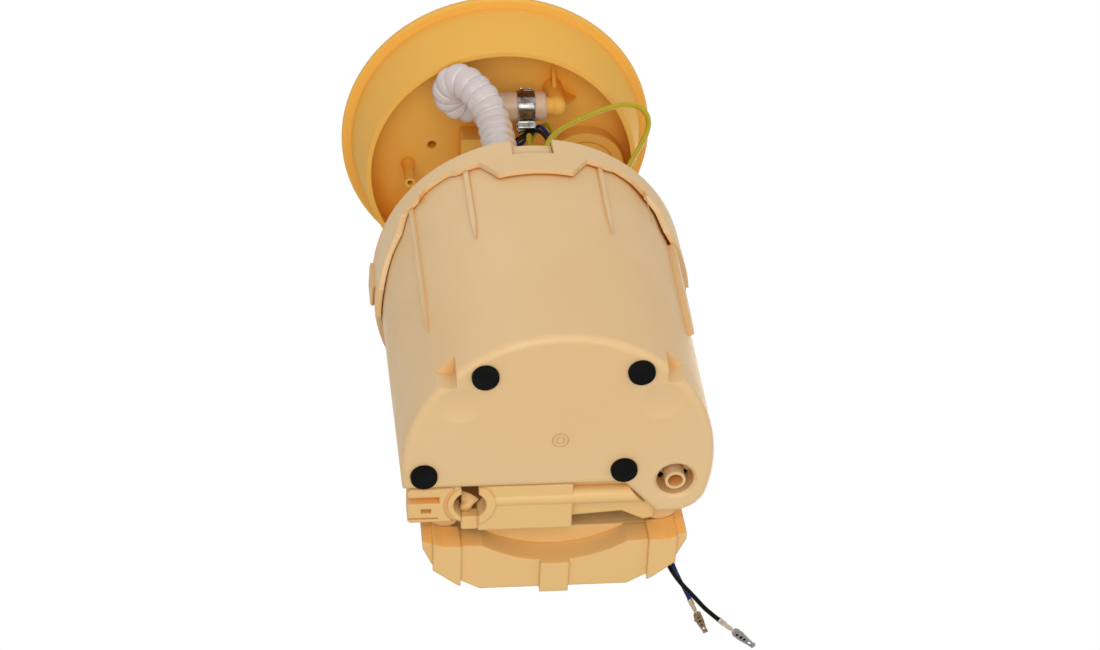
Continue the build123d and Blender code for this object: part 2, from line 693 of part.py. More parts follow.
# Harness wires between the plug housing, the pump's plug and the cover.
yellow_radius = 1.15
blue_radius = 0.85
black_radius = 0.95
thin_radius = 0.6
harness_routes = {
    "harness_yellow": (yellow_radius, [
        (8.0, -8.0, plug_low), (8.0, -8.0, plug_low - 5.5), (17.6, -23.4, plug_low - 5.0),
        (20.3, -27.0, plug_low - 13.5), (20.4, -28.8, plug_low - 24.0), (20.2, -30.2, plug_low - 38.0),
        (16.4, -29.8, cover_top + 13.0), (16.0, -30.4, pump_plug_top),
    ]),
    "harness_yellow_rear": (yellow_radius, [
        (3.0, -3.0, plug_low), (3.0, -3.0, plug_low - 5.0), (8.6, -17.0, plug_low - 16.0),
        (10.7, -25.0, plug_low - 20.9), (9.7, -28.6, plug_low - 22.5), (8.9, -28.8, plug_low - 29.0),
        (8.8, -30.4, plug_low - 40.0), (9.8, -31.0, cover_top + 13.0), (12.4, -30.6, pump_plug_top),
    ]),
    "harness_yellow_loop": (yellow_radius, [
        (12.2, -34.0, pump_plug_top), (12.2, -34.8, cover_top + 1.0), (12.4, -36.8, cover_top + 25.0),
        (14.6, -38.4, cover_top + 41.6), (21.0, -40.4, cover_top + 49.0), (30.0, -42.0, cover_top + 54.6),
        (39.4, -42.8, cover_top + 60.0), (49.4, -42.8, cover_top + 65.4), (57.4, -40.4, cover_top + 68.4),
        (62.2, -36.4, cover_top + 67.0), (61.6, -33.2, cover_top + 60.0), (57.0, -31.8, cover_top + 49.0),
        (49.0, -30.4, cover_top + 33.0), (44.6, -28.6, cover_top + 17.0),
        (*cover_grommet_place, cover_top + 1.5),
    ]),
    "harness_blue": (blue_radius, [
        (2.0, -8.0, plug_low), (2.0, -8.0, plug_low - 4.5), (11.0, -16.6, plug_low - 7.5),
        (15.0, -25.8, plug_low - 10.2), (16.4, -28.2, plug_low - 16.5), (17.9, -30.4, plug_low - 25.5),
        (19.1, -32.6, plug_low - 38.0), (19.5, -33.6, cover_top + 33.0), (19.4, -33.8, cover_top + 13.0),
        (19.3, -32.6, pump_plug_top),
    ]),
    "harness_black": (black_radius, [
        (-4.0, -8.0, plug_low), (-4.0, -8.0, plug_low - 4.5), (4.0, -18.5, plug_low - 12.2),
        (12.6, -26.6, plug_low - 15.4), (15.2, -29.4, plug_low - 22.0), (16.4, -32.2, plug_low - 31.4),
        (16.8, -35.0, plug_low - 45.0), (16.6, -36.6, cover_top + 23.0), (16.6, -35.4, pump_plug_top),
    ]),
    "harness_black_thin": (thin_radius, [
        (9.0, -2.0, plug_low), (9.0, -2.0, plug_low - 6.0), (11.4, -17.0, plug_low - 11.6),
        (12.2, -22.0, plug_low - 14.0), (9.8, -24.4, plug_low - 17.2), (6.2, -27.2, plug_low - 24.1),
        (3.0, -30.4, plug_low - 32.7), (3.0, -31.0, cover_top + 33.0), (3.2, -30.0, cover_top - 2.0),
        (3.2, -29.5, pump_top),
    ]),
}


def make_harness(name):
    radius, points = harness_routes[name]
    return sweep_tube(points, radius)


# Sender leads: they leave a grommet on the cover's skirt, hang to the floor and end in crimp terminals.
lying_z = black_radius + 0.15
lead_routes = {
    "blue": (blue_radius, [
        (51.8, 51.0, grommet_low), (52.4, 51.6, 84.0), (51.4, 51.4, 54.0), (51.6, 52.0, 28.0),
        (51.0, 55.6, 11.6), (53.2, 59.4, 6.0), (56.2, 64.8, 3.7), (58.3, 69.4, 3.2),
    ]),
    "black": (black_radius, [
        (48.8, 53.4, grommet_low), (48.2, 53.8, 82.0), (49.0, 53.4, 52.0), (48.4, 53.8, 24.0),
        (48.8, 54.2, 8.0), (53.0, 58.2, lying_z), (59.4, 66.2, lying_z), (65.2, 74.0, lying_z),
        (70.4, 79.0, lying_z),
    ]),
}


def make_lead(word):
    radius, points = lead_routes[word]
    return sweep_tube(points, radius)


contact_start = 9.0
contact_end = 21.4
contact_bore = 9.0


def make_terminal(word):
    """Crimp terminal at the end of a lead: a rolled barrel, a neck and a boxed contact."""
    radius, points = lead_routes[word]
    end = Vector(*points[-1])
    heading = (end - Vector(*points[-2])).normalized()
    start = Plane(end, x_dir=(-heading.Y, heading.X, 0), z_dir=heading)
    barrel = extrude(Circle(radius + 0.1), 4.4)
    wire_barrel = Pos(0, 0, 4.0) * extrude(Circle(radius * 0.85), 3.8)
    neck = Pos(0, -0.3, 8.2) * Box(1.3, 0.5, 2.6)
    plan = Polygon(
        (-1.0, contact_start), (-1.3, contact_start + 1.2), (-1.3, contact_start + 6.0),
        (-0.9, contact_end), (0.9, contact_end), (1.3, contact_start + 6.0),
        (1.3, contact_start + 1.2), (1.0, contact_start), align=None,
    )
    flat = Plane((0, -0.85, 0), x_dir=(1, 0, 0), z_dir=(0, -1, 0))
    contact = flat * extrude(plan, 1.7, dir=(0, 0, -1))
    contact -= Pos(0, 0, contact_end) * Box(1.1, 0.9, 2 * contact_bore)
    contact -= Pos(0, 0, contact_end - 2.6) * Box(0.7, 3.0, 2.6)
    contact -= Pos(0, 0, contact_start + 2.6) * Box(0.8, 3.0, 0.9)
    return start * (barrel + wire_barrel + neck + contact)


def make_wire_grommet():
    """Rubber grommet under the cover's ear, where both sender leads come out."""
    body = fillet(Rectangle(9.0, 5.6).vertices(), 2.0)
    place = Pos(*wire_ear_place, grommet_low) * Rot(0, 0, wire_ear_turn)
    return place * extrude(body, skirt_low - grommet_low + 4)


def make_cover_grommet():
    """Rubber grommet in the cover where the looped wire goes in."""
    body = ring(cover_grommet_neck + 1.0, 0.6, cover_under - 1, cover_top + 1.5)
    body -= ring(cover_grommet_neck + 2.0, cover_grommet_neck, cover_under, cover_top)
    return Pos(*cover_grommet_place) * body


def at_pump(part):
    return Pos(pump_x, pump_y) * part


def make_pump_shell():
    """Steel can of the pump, rolled in at both ends."""
    return at_pump(ring(pump_radius, pump_radius - pump_shell_wall, pump_low, pump_low + pump_length))


def make_pump_inlet_cap():
    """Lower pump cap with the inlet port, the shaft's seat and the impeller's pumping channel."""
    inner = pump_radius - pump_shell_wall
    cap = disc(inner, pump_low, pump_low + pump_cap) + disc(7.0, pump_low - 6, pump_low)
    channel = Pos(0, 0, pump_low + pump_cap) * Torus(impeller_radius - 2.2, 1.8)
    cap -= channel
    cap -= disc(shaft_radius + running_clearance, pump_low + 2, pump_low + pump_cap + 1)
    cap -= Pos(0, -(impeller_radius - 2.2)) * disc(2.4, pump_low - 1, pump_low + pump_cap)
    return at_pump(cap)


impeller_low = pump_low + pump_cap + seat_gap
middle_low = impeller_low + impeller_thickness + seat_gap


def make_middle_plate():
    """Plate between the impeller and the motor, holding the lower bearing."""
    inner = pump_radius - pump_shell_wall
    plate = disc(inner, middle_low, middle_low + 5) - disc(5.0, middle_low + 1.5, middle_low + 6)
    plate += ring(inner, impeller_radius + 0.5, pump_low + pump_cap, middle_low)
    plate -= disc(shaft_radius + 0.4, middle_low - 1, middle_low + 6)
    plate -= Pos(0, impeller_radius - 2.2) * disc(2.0, middle_low - 1, middle_low + 6)
    return at_pump(plate)


def make_impeller():
    """Side-channel impeller: a thin wheel with a ring of blades cut into its rim, keyed to the shaft."""
    wheel = disc(impeller_radius, impeller_low, impeller_low + impeller_thickness)
    slot = Pos(impeller_radius - 1.6, 0, impeller_low + impeller_thickness / 2) * Box(
        3.4, 2.2, impeller_thickness * 0.7)
    for index in range(impeller_blades):
        wheel -= Rot(0, 0, 360 * index / impeller_blades) * slot
    wheel -= disc(shaft_radius, impeller_low - 1, impeller_low + impeller_thickness + 1)
    return at_pump(wheel)


shaft_low = pump_low + 2.5
shaft_high = pump_low + pump_length - 2.0
commutator_radius = 7.0
commutator_length = 9.0
commutator_low = pump_low + pump_length - pump_cap - commutator_length - 1.4
armature_low = middle_low + 12
armature_length = commutator_low - 2 - armature_low


def make_shaft():
    return at_pump(disc(shaft_radius, shaft_low, shaft_high))


def make_armature():
    """Slotted armature stack with its windings' ends and commutator."""
    stack = disc(armature_radius, armature_low, armature_low + armature_length)
    middle = armature_low + armature_length / 2
    slot = Pos(armature_radius - 2.2, 0, middle) * Box(5.2, 2.4, armature_length + 2)
    for index in range(armature_slots):
        stack -= Rot(0, 0, 360 * index / armature_slots) * slot
    stack += disc(armature_radius - 3.4, armature_low - 4, armature_low)
    stack += disc(armature_radius - 3.4, armature_low + armature_length, commutator_low)
    stack += disc(commutator_radius, commutator_low, commutator_low + commutator_length)
    stack -= disc(shaft_radius, armature_low - 5, commutator_low + commutator_length + 1)
    return at_pump(stack)


def make_magnets():
    """Pair of curved magnets glued inside the can."""
    outer = pump_radius - pump_shell_wall
    low = armature_low - 2
    high = armature_low + armature_length + 2
    shell = ring(outer, armature_radius + magnet_gap, low, high)
    gap = block(-4, 4, -outer - 1, outer + 1, low - 1, high + 1)
    halves = (shell - gap).solids()
    return Compound(children=[at_pump(half) for half in halves])


def make_bearings():
    """Sintered bushes at the two ends of the shaft."""
    bush = ring(5.0, shaft_radius + running_clearance, 0, 4.0)
    upper = pump_low + pump_length - pump_cap
    return Compound(children=[
        at_pump(Pos(0, 0, middle_low + 1.5) * (ring(5.0, shaft_radius + running_clearance, 0, 3.5))),
        at_pump(Pos(0, 0, upper) * bush),
    ])


def make_pump_outlet_cap():
    """Upper pump cap with the outlet nipple, the check valve's cage and the brush boxes."""
    inner = pump_radius - pump_shell_wall
    low = pump_low + pump_length - pump_cap
    high = pump_low + pump_length
    cap = disc(inner, low, high) + disc(pump_radius, high, high + pump_cap)
    cap -= disc(5.0, low - 1, low + 4.0)
    cap -= disc(shaft_radius + 0.5, low - 1, shaft_high + 1)
    cap = at_pump(cap)
    cap += Pos(nipple_x, nipple_y) * disc(nipple_radius, high, pump_top + nipple_height)
    cap -= Pos(nipple_x, nipple_y) * disc(2.4, low - 1, high + 1.5)
    cap -= Pos(nipple_x, nipple_y) * disc(3.0, high + 1.5, pump_top + nipple_height + 1)
    return cap


def make_check_valve():
    """Poppet that sits on the outlet's seat and lifts when the pump runs."""
    low = pump_low + pump_length + 1.5 + valve_gap
    poppet = disc(2.9, low, low + 1.5) + disc(1.2, low + 1.5, low + 8)
    return Pos(nipple_x, nipple_y) * poppet


def make_check_valve_stop():
    """Bridge in the nipple that guides the poppet's stem and stops its lift."""
    low = pump_low + pump_length + 1.5
    bridge = disc(3.0, low + 6.5, low + 8) - disc(1.2 + running_clearance, low, low + 9)
    hole = Pos(2.1, 0) * disc(0.6, low, low + 9)
    for index in range(4):
        bridge -= Rot(0, 0, 90 * index) * hole
    return Pos(nipple_x, nipple_y) * bridge


def make_brushes():
    """Carbon brushes on both sides of the commutator."""
    low = commutator_low + 2
    inner = commutator_radius + seat_gap
    brush = block(inner, inner + 6, -2, 2, low, low + 5)
    return Compound(children=[at_pump(brush), at_pump(Rot(0, 0, 180) * brush)])


def make_brush_holder():
    """Insulating ring that carries the brushes inside the can."""
    low = commutator_low + 1
    outer = pump_radius - pump_shell_wall
    holder = ring(outer, commutator_radius + 2.0, low, low + 7)
    slot = block(commutator_radius, commutator_radius + seat_gap + 6, -2, 2, low + 1, low + 6)
    holder -= slot
    holder -= Rot(0, 0, 180) * slot
    return at_pump(holder)


def make_pump_plug():
    """Plug with the harness wires on the pump's upper cap."""
    return block(9.8, 20.8, -37.0, -28.6, pump_top, pump_plug_top)


def make_strainer():
    """Round inlet strainer under the pump, standing on the reservoir's floor."""
    body = disc(17.0, floor_z, pump_low - 6)
    body = fillet(body.edges(), 1.2)
    return at_pump(body)


def make_pump_holder():
    """Ring with four feet that stands on the floor and holds the pump's isolator."""
    inner = pump_radius + isolator_thickness
    low = isolator_low
    holder = ring(inner + holder_wall, inner, low, low + isolator_height)
    holder += ring(inner + holder_wall, pump_radius + 0.6, low - 1.5, low)
    leg = block(inner, inner + holder_wall, -4, 4, floor_z, low + 1) + block(
        inner, inner + 5.0, -4, 4, floor_z, floor_z + 1.6)
    for index in range(4):
        holder += Rot(0, 0, 45 + 90 * index) * leg
    return at_pump(holder)


def make_isolator():
    """Rubber sleeve between the pump and its holder."""
    high = isolator_low + isolator_height
    return at_pump(ring(pump_radius + isolator_thickness, pump_radius, isolator_low, high))


def build_all():
    """Every piece of the module by its node name."""
    nodes = {
        "reservoir_pot": make_pot(),
        "rubber_feet": make_feet(),
        "inlet_stub": make_inlet_stub(),
        "inlet_flap_valve": make_inlet_flap(),
        "reservoir_cover": make_cover(),
        "filter_cap": make_filter_cap(),
        "filter_housing": make_filter_housing(),
        "filter_element": make_filter_element(),
        "sender_mount": make_sender_mount(),
        "jet_pump_body": make_jet_pump(),
        "jet_pump_nozzle": make_jet_nozzle(),
        "flange": make_flange(),
        "connector_pins": make_pins(),
        "vent_valve": make_vent_valve(),
        "outlet_hose": make_hose(),
        "hose_clamp_upper": make_hose_clamp(),
        "hose_clamp_lower": make_lower_clamp(),
        "wire_grommet": make_wire_grommet(),
        "cover_grommet": make_cover_grommet(),
        "pump_shell": make_pump_shell(),
        "pump_inlet_cap": make_pump_inlet_cap(),
        "pump_middle_plate": make_middle_plate(),
        "pump_impeller": make_impeller(),
        "pump_shaft": make_shaft(),
        "pump_armature": make_armature(),
        "pump_magnets": make_magnets(),
        "pump_bearings": make_bearings(),
        "pump_outlet_cap": make_pump_outlet_cap(),
        "outlet_check_valve": make_check_valve(),
        "check_valve_stop": make_check_valve_stop(),
        "pump_brushes": make_brushes(),
        "brush_holder": make_brush_holder(),
        "pump_plug": make_pump_plug(),
        "inlet_strainer": make_strainer(),
        "pump_holder": make_pump_holder(),
        "pump_isolator": make_isolator(),
    }
    for side, word in ((-1, "left"), (1, "right")):
        nodes["guide_tube_" + word] = make_guide_tube(side)
        nodes["guide_rod_" + word] = make_guide_rod(side)
        nodes["guide_spring_" + word] = make_spring(side)
    for name in harness_routes:
        nodes[name] = make_harness(name)
    for word in lead_routes:
        nodes["sender_lead_" + word] = make_lead(word)
        nodes["sender_terminal_" + word] = make_terminal(word)
    return nodes


os.makedirs("parts", exist_ok=True)
for name, shape in build_all().items():
    export_step(shape, "parts/" + name + ".step")
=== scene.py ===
import json
import math

import bmesh
import bpy
from mathutils import Matrix, Vector


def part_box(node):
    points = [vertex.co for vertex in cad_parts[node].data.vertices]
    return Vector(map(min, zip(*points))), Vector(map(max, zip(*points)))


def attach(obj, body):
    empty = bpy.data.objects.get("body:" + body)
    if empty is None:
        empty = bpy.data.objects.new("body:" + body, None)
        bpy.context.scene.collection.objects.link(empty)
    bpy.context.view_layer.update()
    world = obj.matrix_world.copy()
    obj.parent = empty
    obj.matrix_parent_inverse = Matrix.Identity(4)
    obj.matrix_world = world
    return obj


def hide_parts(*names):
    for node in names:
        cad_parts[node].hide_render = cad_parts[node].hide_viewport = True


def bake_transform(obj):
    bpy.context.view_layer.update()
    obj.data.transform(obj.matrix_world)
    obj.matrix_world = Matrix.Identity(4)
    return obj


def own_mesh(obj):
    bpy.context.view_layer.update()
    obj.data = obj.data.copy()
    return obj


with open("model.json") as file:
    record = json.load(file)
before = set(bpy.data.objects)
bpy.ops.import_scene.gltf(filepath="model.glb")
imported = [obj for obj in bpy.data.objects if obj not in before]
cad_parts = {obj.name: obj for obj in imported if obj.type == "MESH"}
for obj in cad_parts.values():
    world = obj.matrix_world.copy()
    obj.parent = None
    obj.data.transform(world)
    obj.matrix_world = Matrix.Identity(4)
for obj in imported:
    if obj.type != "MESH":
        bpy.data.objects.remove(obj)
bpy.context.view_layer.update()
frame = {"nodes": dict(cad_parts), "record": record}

# Fuel pump module, in metres, in the CAD's frame: +Z up, -Y towards the rounded front of the reservoir.
MM = 0.001


# ---------------------------------------------------------------- camera, stage and light

CAMERA_AZIMUTH = -10.38
CAMERA_ELEVATION = -54.74
CAMERA_ROLL = -10.08
CAMERA_DISTANCE = 1.0
CAMERA_SHIFT = (-0.00027, 0.05431)
CAMERA_TARGET_Z = 0.002
LENS = 86.0
SENSOR = 36.0

# name: (place, size, power)
LAMPS = {
    "key": ((0.80, -0.95, -0.10), 1.0, 2.4),
    "under": ((-0.15, -0.80, -1.20), 1.1, 14.0),
    "top": ((-0.6, -0.7, 1.0), 1.0, 2.2),
    "rear": ((0.5, 0.9, 0.7), 0.9, 7.0),
}
LAMP_AIM = Vector((0, 0, 0.11))
FILL_STRENGTH = 0.52
FLOOR_HALF = 1.6
FLOOR_Z = -0.0002
FLOOR_GREY = 0.93


def camera_axes():
    """Right, up and backward directions of the photograph's camera, which looks up at the feet."""
    azimuth = math.radians(CAMERA_AZIMUTH)
    elevation = math.radians(CAMERA_ELEVATION)
    roll = math.radians(CAMERA_ROLL)
    back = Vector((
        math.sin(azimuth) * math.cos(elevation),
        -math.cos(azimuth) * math.cos(elevation),
        math.sin(elevation),
    ))
    level = (-back).cross(Vector((0, 0, 1))).normalized()
    upright = level.cross(-back)
    right = math.cos(roll) * level + math.sin(roll) * upright
    up = math.cos(roll) * upright - math.sin(roll) * level
    return right, up, back


def make_camera():
    right, up, back = camera_axes()
    data = bpy.data.cameras.new("camera")
    data.lens = LENS
    data.sensor_width = SENSOR
    data.clip_start = 0.01
    camera = bpy.data.objects.new("camera", data)
    place = CAMERA_SHIFT[0] * right + CAMERA_SHIFT[1] * up + CAMERA_DISTANCE * back
    place.z += CAMERA_TARGET_Z
    turn = Matrix((right, up, back)).transposed().to_4x4()
    camera.matrix_world = Matrix.Translation(place) @ turn
    bpy.context.collection.objects.link(camera)
    bpy.context.scene.camera = camera


def make_lamp(name, place, size, power):
    """Soft square lamp aimed at the middle of the module."""
    data = bpy.data.lights.new(name, "AREA")
    data.size = size
    data.energy = power
    lamp = bpy.data.objects.new(name, data)
    lamp.location = place
    lamp.rotation_euler = (LAMP_AIM - Vector(place)).to_track_quat("-Z", "Y").to_euler()
    bpy.context.collection.objects.link(lamp)


def make_world():
    """White behind all that a camera, a reflection or a clear piece sees, and a plain fill elsewhere."""
    world = bpy.data.worlds.new("world")
    bpy.context.scene.world = world
    world.use_nodes = True
    nodes = world.node_tree.nodes
    links = world.node_tree.links
    nodes.clear()
    path = nodes.new("ShaderNodeLightPath")
    seen = nodes.new("ShaderNodeMath")
    seen.operation = "ADD"
    links.new(path.outputs["Is Camera Ray"], seen.inputs[0])
    links.new(path.outputs["Is Transmission Ray"], seen.inputs[1])
    seen.use_clamp = True
    plain = nodes.new("ShaderNodeMath")
    plain.operation = "MAXIMUM"
    links.new(seen.outputs[0], plain.inputs[0])
    links.new(path.outputs["Is Glossy Ray"], plain.inputs[1])
    white = nodes.new("ShaderNodeBackground")
    white.inputs["Color"].default_value = (1, 1, 1, 1)
    white.inputs["Strength"].default_value = 1.0
    fill = nodes.new("ShaderNodeBackground")
    fill.inputs["Color"].default_value = (1, 1, 1, 1)
    fill.inputs["Strength"].default_value = FILL_STRENGTH
    mix = nodes.new("ShaderNodeMixShader")
    output = nodes.new("ShaderNodeOutputWorld")
    links.new(plain.outputs[0], mix.inputs["Fac"])
    links.new(fill.outputs[0], mix.inputs[1])
    links.new(white.outputs[0], mix.inputs[2])
    links.new(mix.outputs[0], output.inputs["Surface"])


def make_floor():
    """Pale floor that is seen from above only, and lets light reach the underside of the module."""
    mesh = bpy.data.meshes.new("floor")
    corners = [(x * FLOOR_HALF, y * FLOOR_HALF, FLOOR_Z) for x, y in ((-1, -1), (1, -1), (1, 1), (-1, 1))]
    mesh.from_pydata(corners, [], [(0, 1, 2, 3)])
    floor = bpy.data.objects.new("floor", mesh)
    bpy.context.collection.objects.link(floor)
    material = bpy.data.materials.new("floor")
    material.use_nodes = True
    nodes = material.node_tree.nodes
    links = material.node_tree.links
    nodes.clear()
    path = nodes.new("ShaderNodeLightPath")
    side = nodes.new("ShaderNodeNewGeometry")
    front = nodes.new("ShaderNodeMath")
    front.operation = "SUBTRACT"
    links.new(path.outputs["Is Camera Ray"], front.inputs[0])
    links.new(side.outputs["Backfacing"], front.inputs[1])
    front.use_clamp = True
    clear = nodes.new("ShaderNodeBsdfTransparent")
    paper = nodes.new("ShaderNodeBsdfDiffuse")
    paper.inputs["Color"].default_value = (FLOOR_GREY, FLOOR_GREY, FLOOR_GREY, 1)
    mix = nodes.new("ShaderNodeMixShader")
    output = nodes.new("ShaderNodeOutputMaterial")
    links.new(front.outputs[0], mix.inputs["Fac"])
    links.new(clear.outputs[0], mix.inputs[1])
    links.new(paper.outputs[0], mix.inputs[2])
    links.new(mix.outputs[0], output.inputs["Surface"])
    mesh.materials.append(material)


make_camera()
make_world()
make_floor()
for lamp_name, (lamp_place, lamp_size, lamp_power) in LAMPS.items():
    make_lamp(lamp_name, lamp_place, lamp_size, lamp_power)
bpy.context.scene.view_settings.view_transform = "Standard"


# ---------------------------------------------------------------- meshes, modifiers and routes

def grid_faces(rows, columns, closed_rows=False, closed_columns=True):
    """Quads between rows of points that are numbered row by row."""
    faces = []
    for row in range(rows if closed_rows else rows - 1):
        here = row * columns
        there = (row + 1) % rows * columns
        for column in range(columns if closed_columns else columns - 1):
            right = (column + 1) % columns
            faces.append((here + column, here + right, there + right, there + column))
    return faces


def end_faces(rows, columns):
    """Caps on the first and the last ring of a closed grid."""
    return [tuple(reversed(range(columns))), tuple(range((rows - 1) * columns, rows * columns))]


def mesh_of(name, vertices, faces):
    mesh = bpy.data.meshes.new(name)
    mesh.from_pydata(vertices, [], faces)
    mesh.update()
    return mesh


def add_object(name, mesh, material, smooth=True):
    """Links a finished mesh as a piece of the scene."""
    for face in mesh.polygons:
        face.use_smooth = smooth
    mesh.materials.append(material)
    piece = bpy.data.objects.new(name, mesh)
    bpy.context.collection.objects.link(piece)
    return piece


def soften_edges(piece, width, segments=2, angle=30):
    """Rounds the edges that turn by more than an angle in degrees."""
    edges = piece.modifiers.new("edges", "BEVEL")
    edges.width = width
    edges.segments = segments
    edges.limit_method = "ANGLE"
    edges.angle_limit = math.radians(angle)


def thicken(piece, thickness):
    """Gives a sheet its thickness, half to each side."""
    skin = piece.modifiers.new("thickness", "SOLIDIFY")
    skin.thickness = thickness
    skin.offset = 0.0


def curve_of(name, route):
    """Smooth curve object with the route's points as control points."""
    curve = bpy.data.curves.new(name, "CURVE")
    curve.dimensions = "3D"
    spline = curve.splines.new("NURBS")
    spline.points.add(len(route) - 1)
    for point, place in zip(spline.points, route):
        point.co = (*place, 1)
    spline.order_u = 3
    spline.use_endpoint_u = True
    spline.resolution_u = 16
    piece = bpy.data.objects.new(name, curve)
    bpy.context.collection.objects.link(piece)
    return piece


def points_along(route, step):
    """Points of the route's smooth line, an even step apart."""
    guide = curve_of("guide", route)
    bpy.context.view_layer.update()
    mesh = bpy.data.meshes.new_from_object(guide)
    line = [vertex.co.copy() for vertex in mesh.vertices]
    bpy.data.objects.remove(guide)
    lengths = [0.0]
    for before, after in zip(line, line[1:]):
        lengths.append(lengths[-1] + (after - before).length)
    count = max(2, round(lengths[-1] / step))
    places = []
    index = 0
    for number in range(count + 1):
        reach = lengths[-1] * number / count
        while index < len(line) - 2 and lengths[index + 1] < reach:
            index += 1
        share = (reach - lengths[index]) / max(lengths[index + 1] - lengths[index], 1e-9)
        places.append(line[index].lerp(line[index + 1], share))
    return places


def rings_mesh(name, places, radii, sides, open_foot=False):
    """Tube skin: a ring of points square to the line at each place."""
    vertices = []
    heading = (places[1] - places[0]).normalized()
    across = heading.orthogonal().normalized()
    for index, (place, radius) in enumerate(zip(places, radii)):
        ahead = places[min(index + 1, len(places) - 1)] - places[max(index - 1, 0)]
        turn = heading.rotation_difference(ahead.normalized())
        heading = ahead.normalized()
        across = (turn @ across).normalized()
        beside = heading.cross(across)
        for side in range(sides):
            angle = 2 * math.pi * side / sides
            vertices.append(place + radius * (math.cos(angle) * across + math.sin(angle) * beside))
    ends = end_faces(len(places), sides)
    return mesh_of(name, vertices, grid_faces(len(places), sides) + (ends[:1] if open_foot else ends))


# ---------------------------------------------------------------- materials

class Nodes:
    """A material's node tree with short calls for the pieces that repeat."""

    def __init__(self, name):
        self.material = bpy.data.materials.new(name)
        self.material.use_nodes = True
        self.tree = self.material.node_tree
        self.shader = self.tree.nodes["Principled BSDF"]
        self.place = self.tree.nodes.new("ShaderNodeTexCoord").outputs["Object"]

    def add(self, kind, **values):
        """New node with some of its own settings."""
        node = self.tree.nodes.new(kind)
        for key, value in values.items():
            setattr(node, key, value)
        return node

    def link(self, source, target):
        self.tree.links.new(source, target)

    def noise(self, scale, detail=3.0, roughness=0.5, source=None):
        """Noise in the piece's own coordinates, or in the source's."""
        node = self.add("ShaderNodeTexNoise")
        node.inputs["Scale"].default_value = scale
        node.inputs["Detail"].default_value = detail
        node.inputs["Roughness"].default_value = roughness
        self.link(source or self.place, node.inputs["Vector"])
        return node.outputs["Fac"]

    def span(self, value, low, high, to_low, to_high):
        """Maps a value's range to another, smoothly and clamped."""
        node = self.add("ShaderNodeMapRange", interpolation_type="SMOOTHSTEP")
        for name, number in (("From Min", low), ("From Max", high), ("To Min", to_low), ("To Max", to_high)):
            node.inputs[name].default_value = number
        self.link(value, node.inputs["Value"])
        return node.outputs["Result"]

    def mix(self, factor, first, second, mode="MIX"):
        """Colour mix; first and second are colours or sockets."""
        node = self.add("ShaderNodeMix", data_type="RGBA", blend_type=mode)
        if isinstance(factor, (int, float)):
            node.inputs["Factor"].default_value = factor
        else:
            self.link(factor, node.inputs["Factor"])
        for socket, value in ((node.inputs[6], first), (node.inputs[7], second)):
            if isinstance(value, tuple):
                socket.default_value = (*value, 1)
            else:
                self.link(value, socket)
        return node.outputs[2]

    def bump(self, height, strength, distance, normal=None):
        """Relief on top of an earlier normal."""
        node = self.add("ShaderNodeBump")
        node.inputs["Strength"].default_value = strength
        node.inputs["Distance"].default_value = distance
        self.link(height, node.inputs["Height"])
        if normal:
            self.link(normal, node.inputs["Normal"])
        return node.outputs["Normal"]

    def rounded_edges(self, radius):
        """Normal that reads as softly rounded edges."""
        node = self.add("ShaderNodeBevel", samples=4)
        node.inputs["Radius"].default_value = radius
        return node.outputs["Normal"]

    def occlusion(self, distance, only_local):
        """Share of open sky within a distance, of the piece alone or with its neighbours."""
        node = self.add("ShaderNodeAmbientOcclusion", samples=8, only_local=only_local)
        node.inputs["Distance"].default_value = distance
        return node.outputs["AO"]

    def axes(self, source):
        """X, Y and Z of a place or a direction."""
        node = self.add("ShaderNodeSeparateXYZ")
        self.link(source, node.inputs[0])
        return node.outputs

    def set(self, **values):
        """Settings of the shader: numbers, colours or sockets."""
        for key, value in values.items():
            socket = self.shader.inputs[key.replace("_", " ")]
            if isinstance(value, (int, float)):
                socket.default_value = value
            elif isinstance(value, tuple):
                socket.default_value = value if len(value) == len(socket.default_value) else (*value, 1)
            else:
                self.link(value, socket)


# how far the painted warm shade looks for a piece's own walls, in metres
HOLLOW_REACH = 0.030


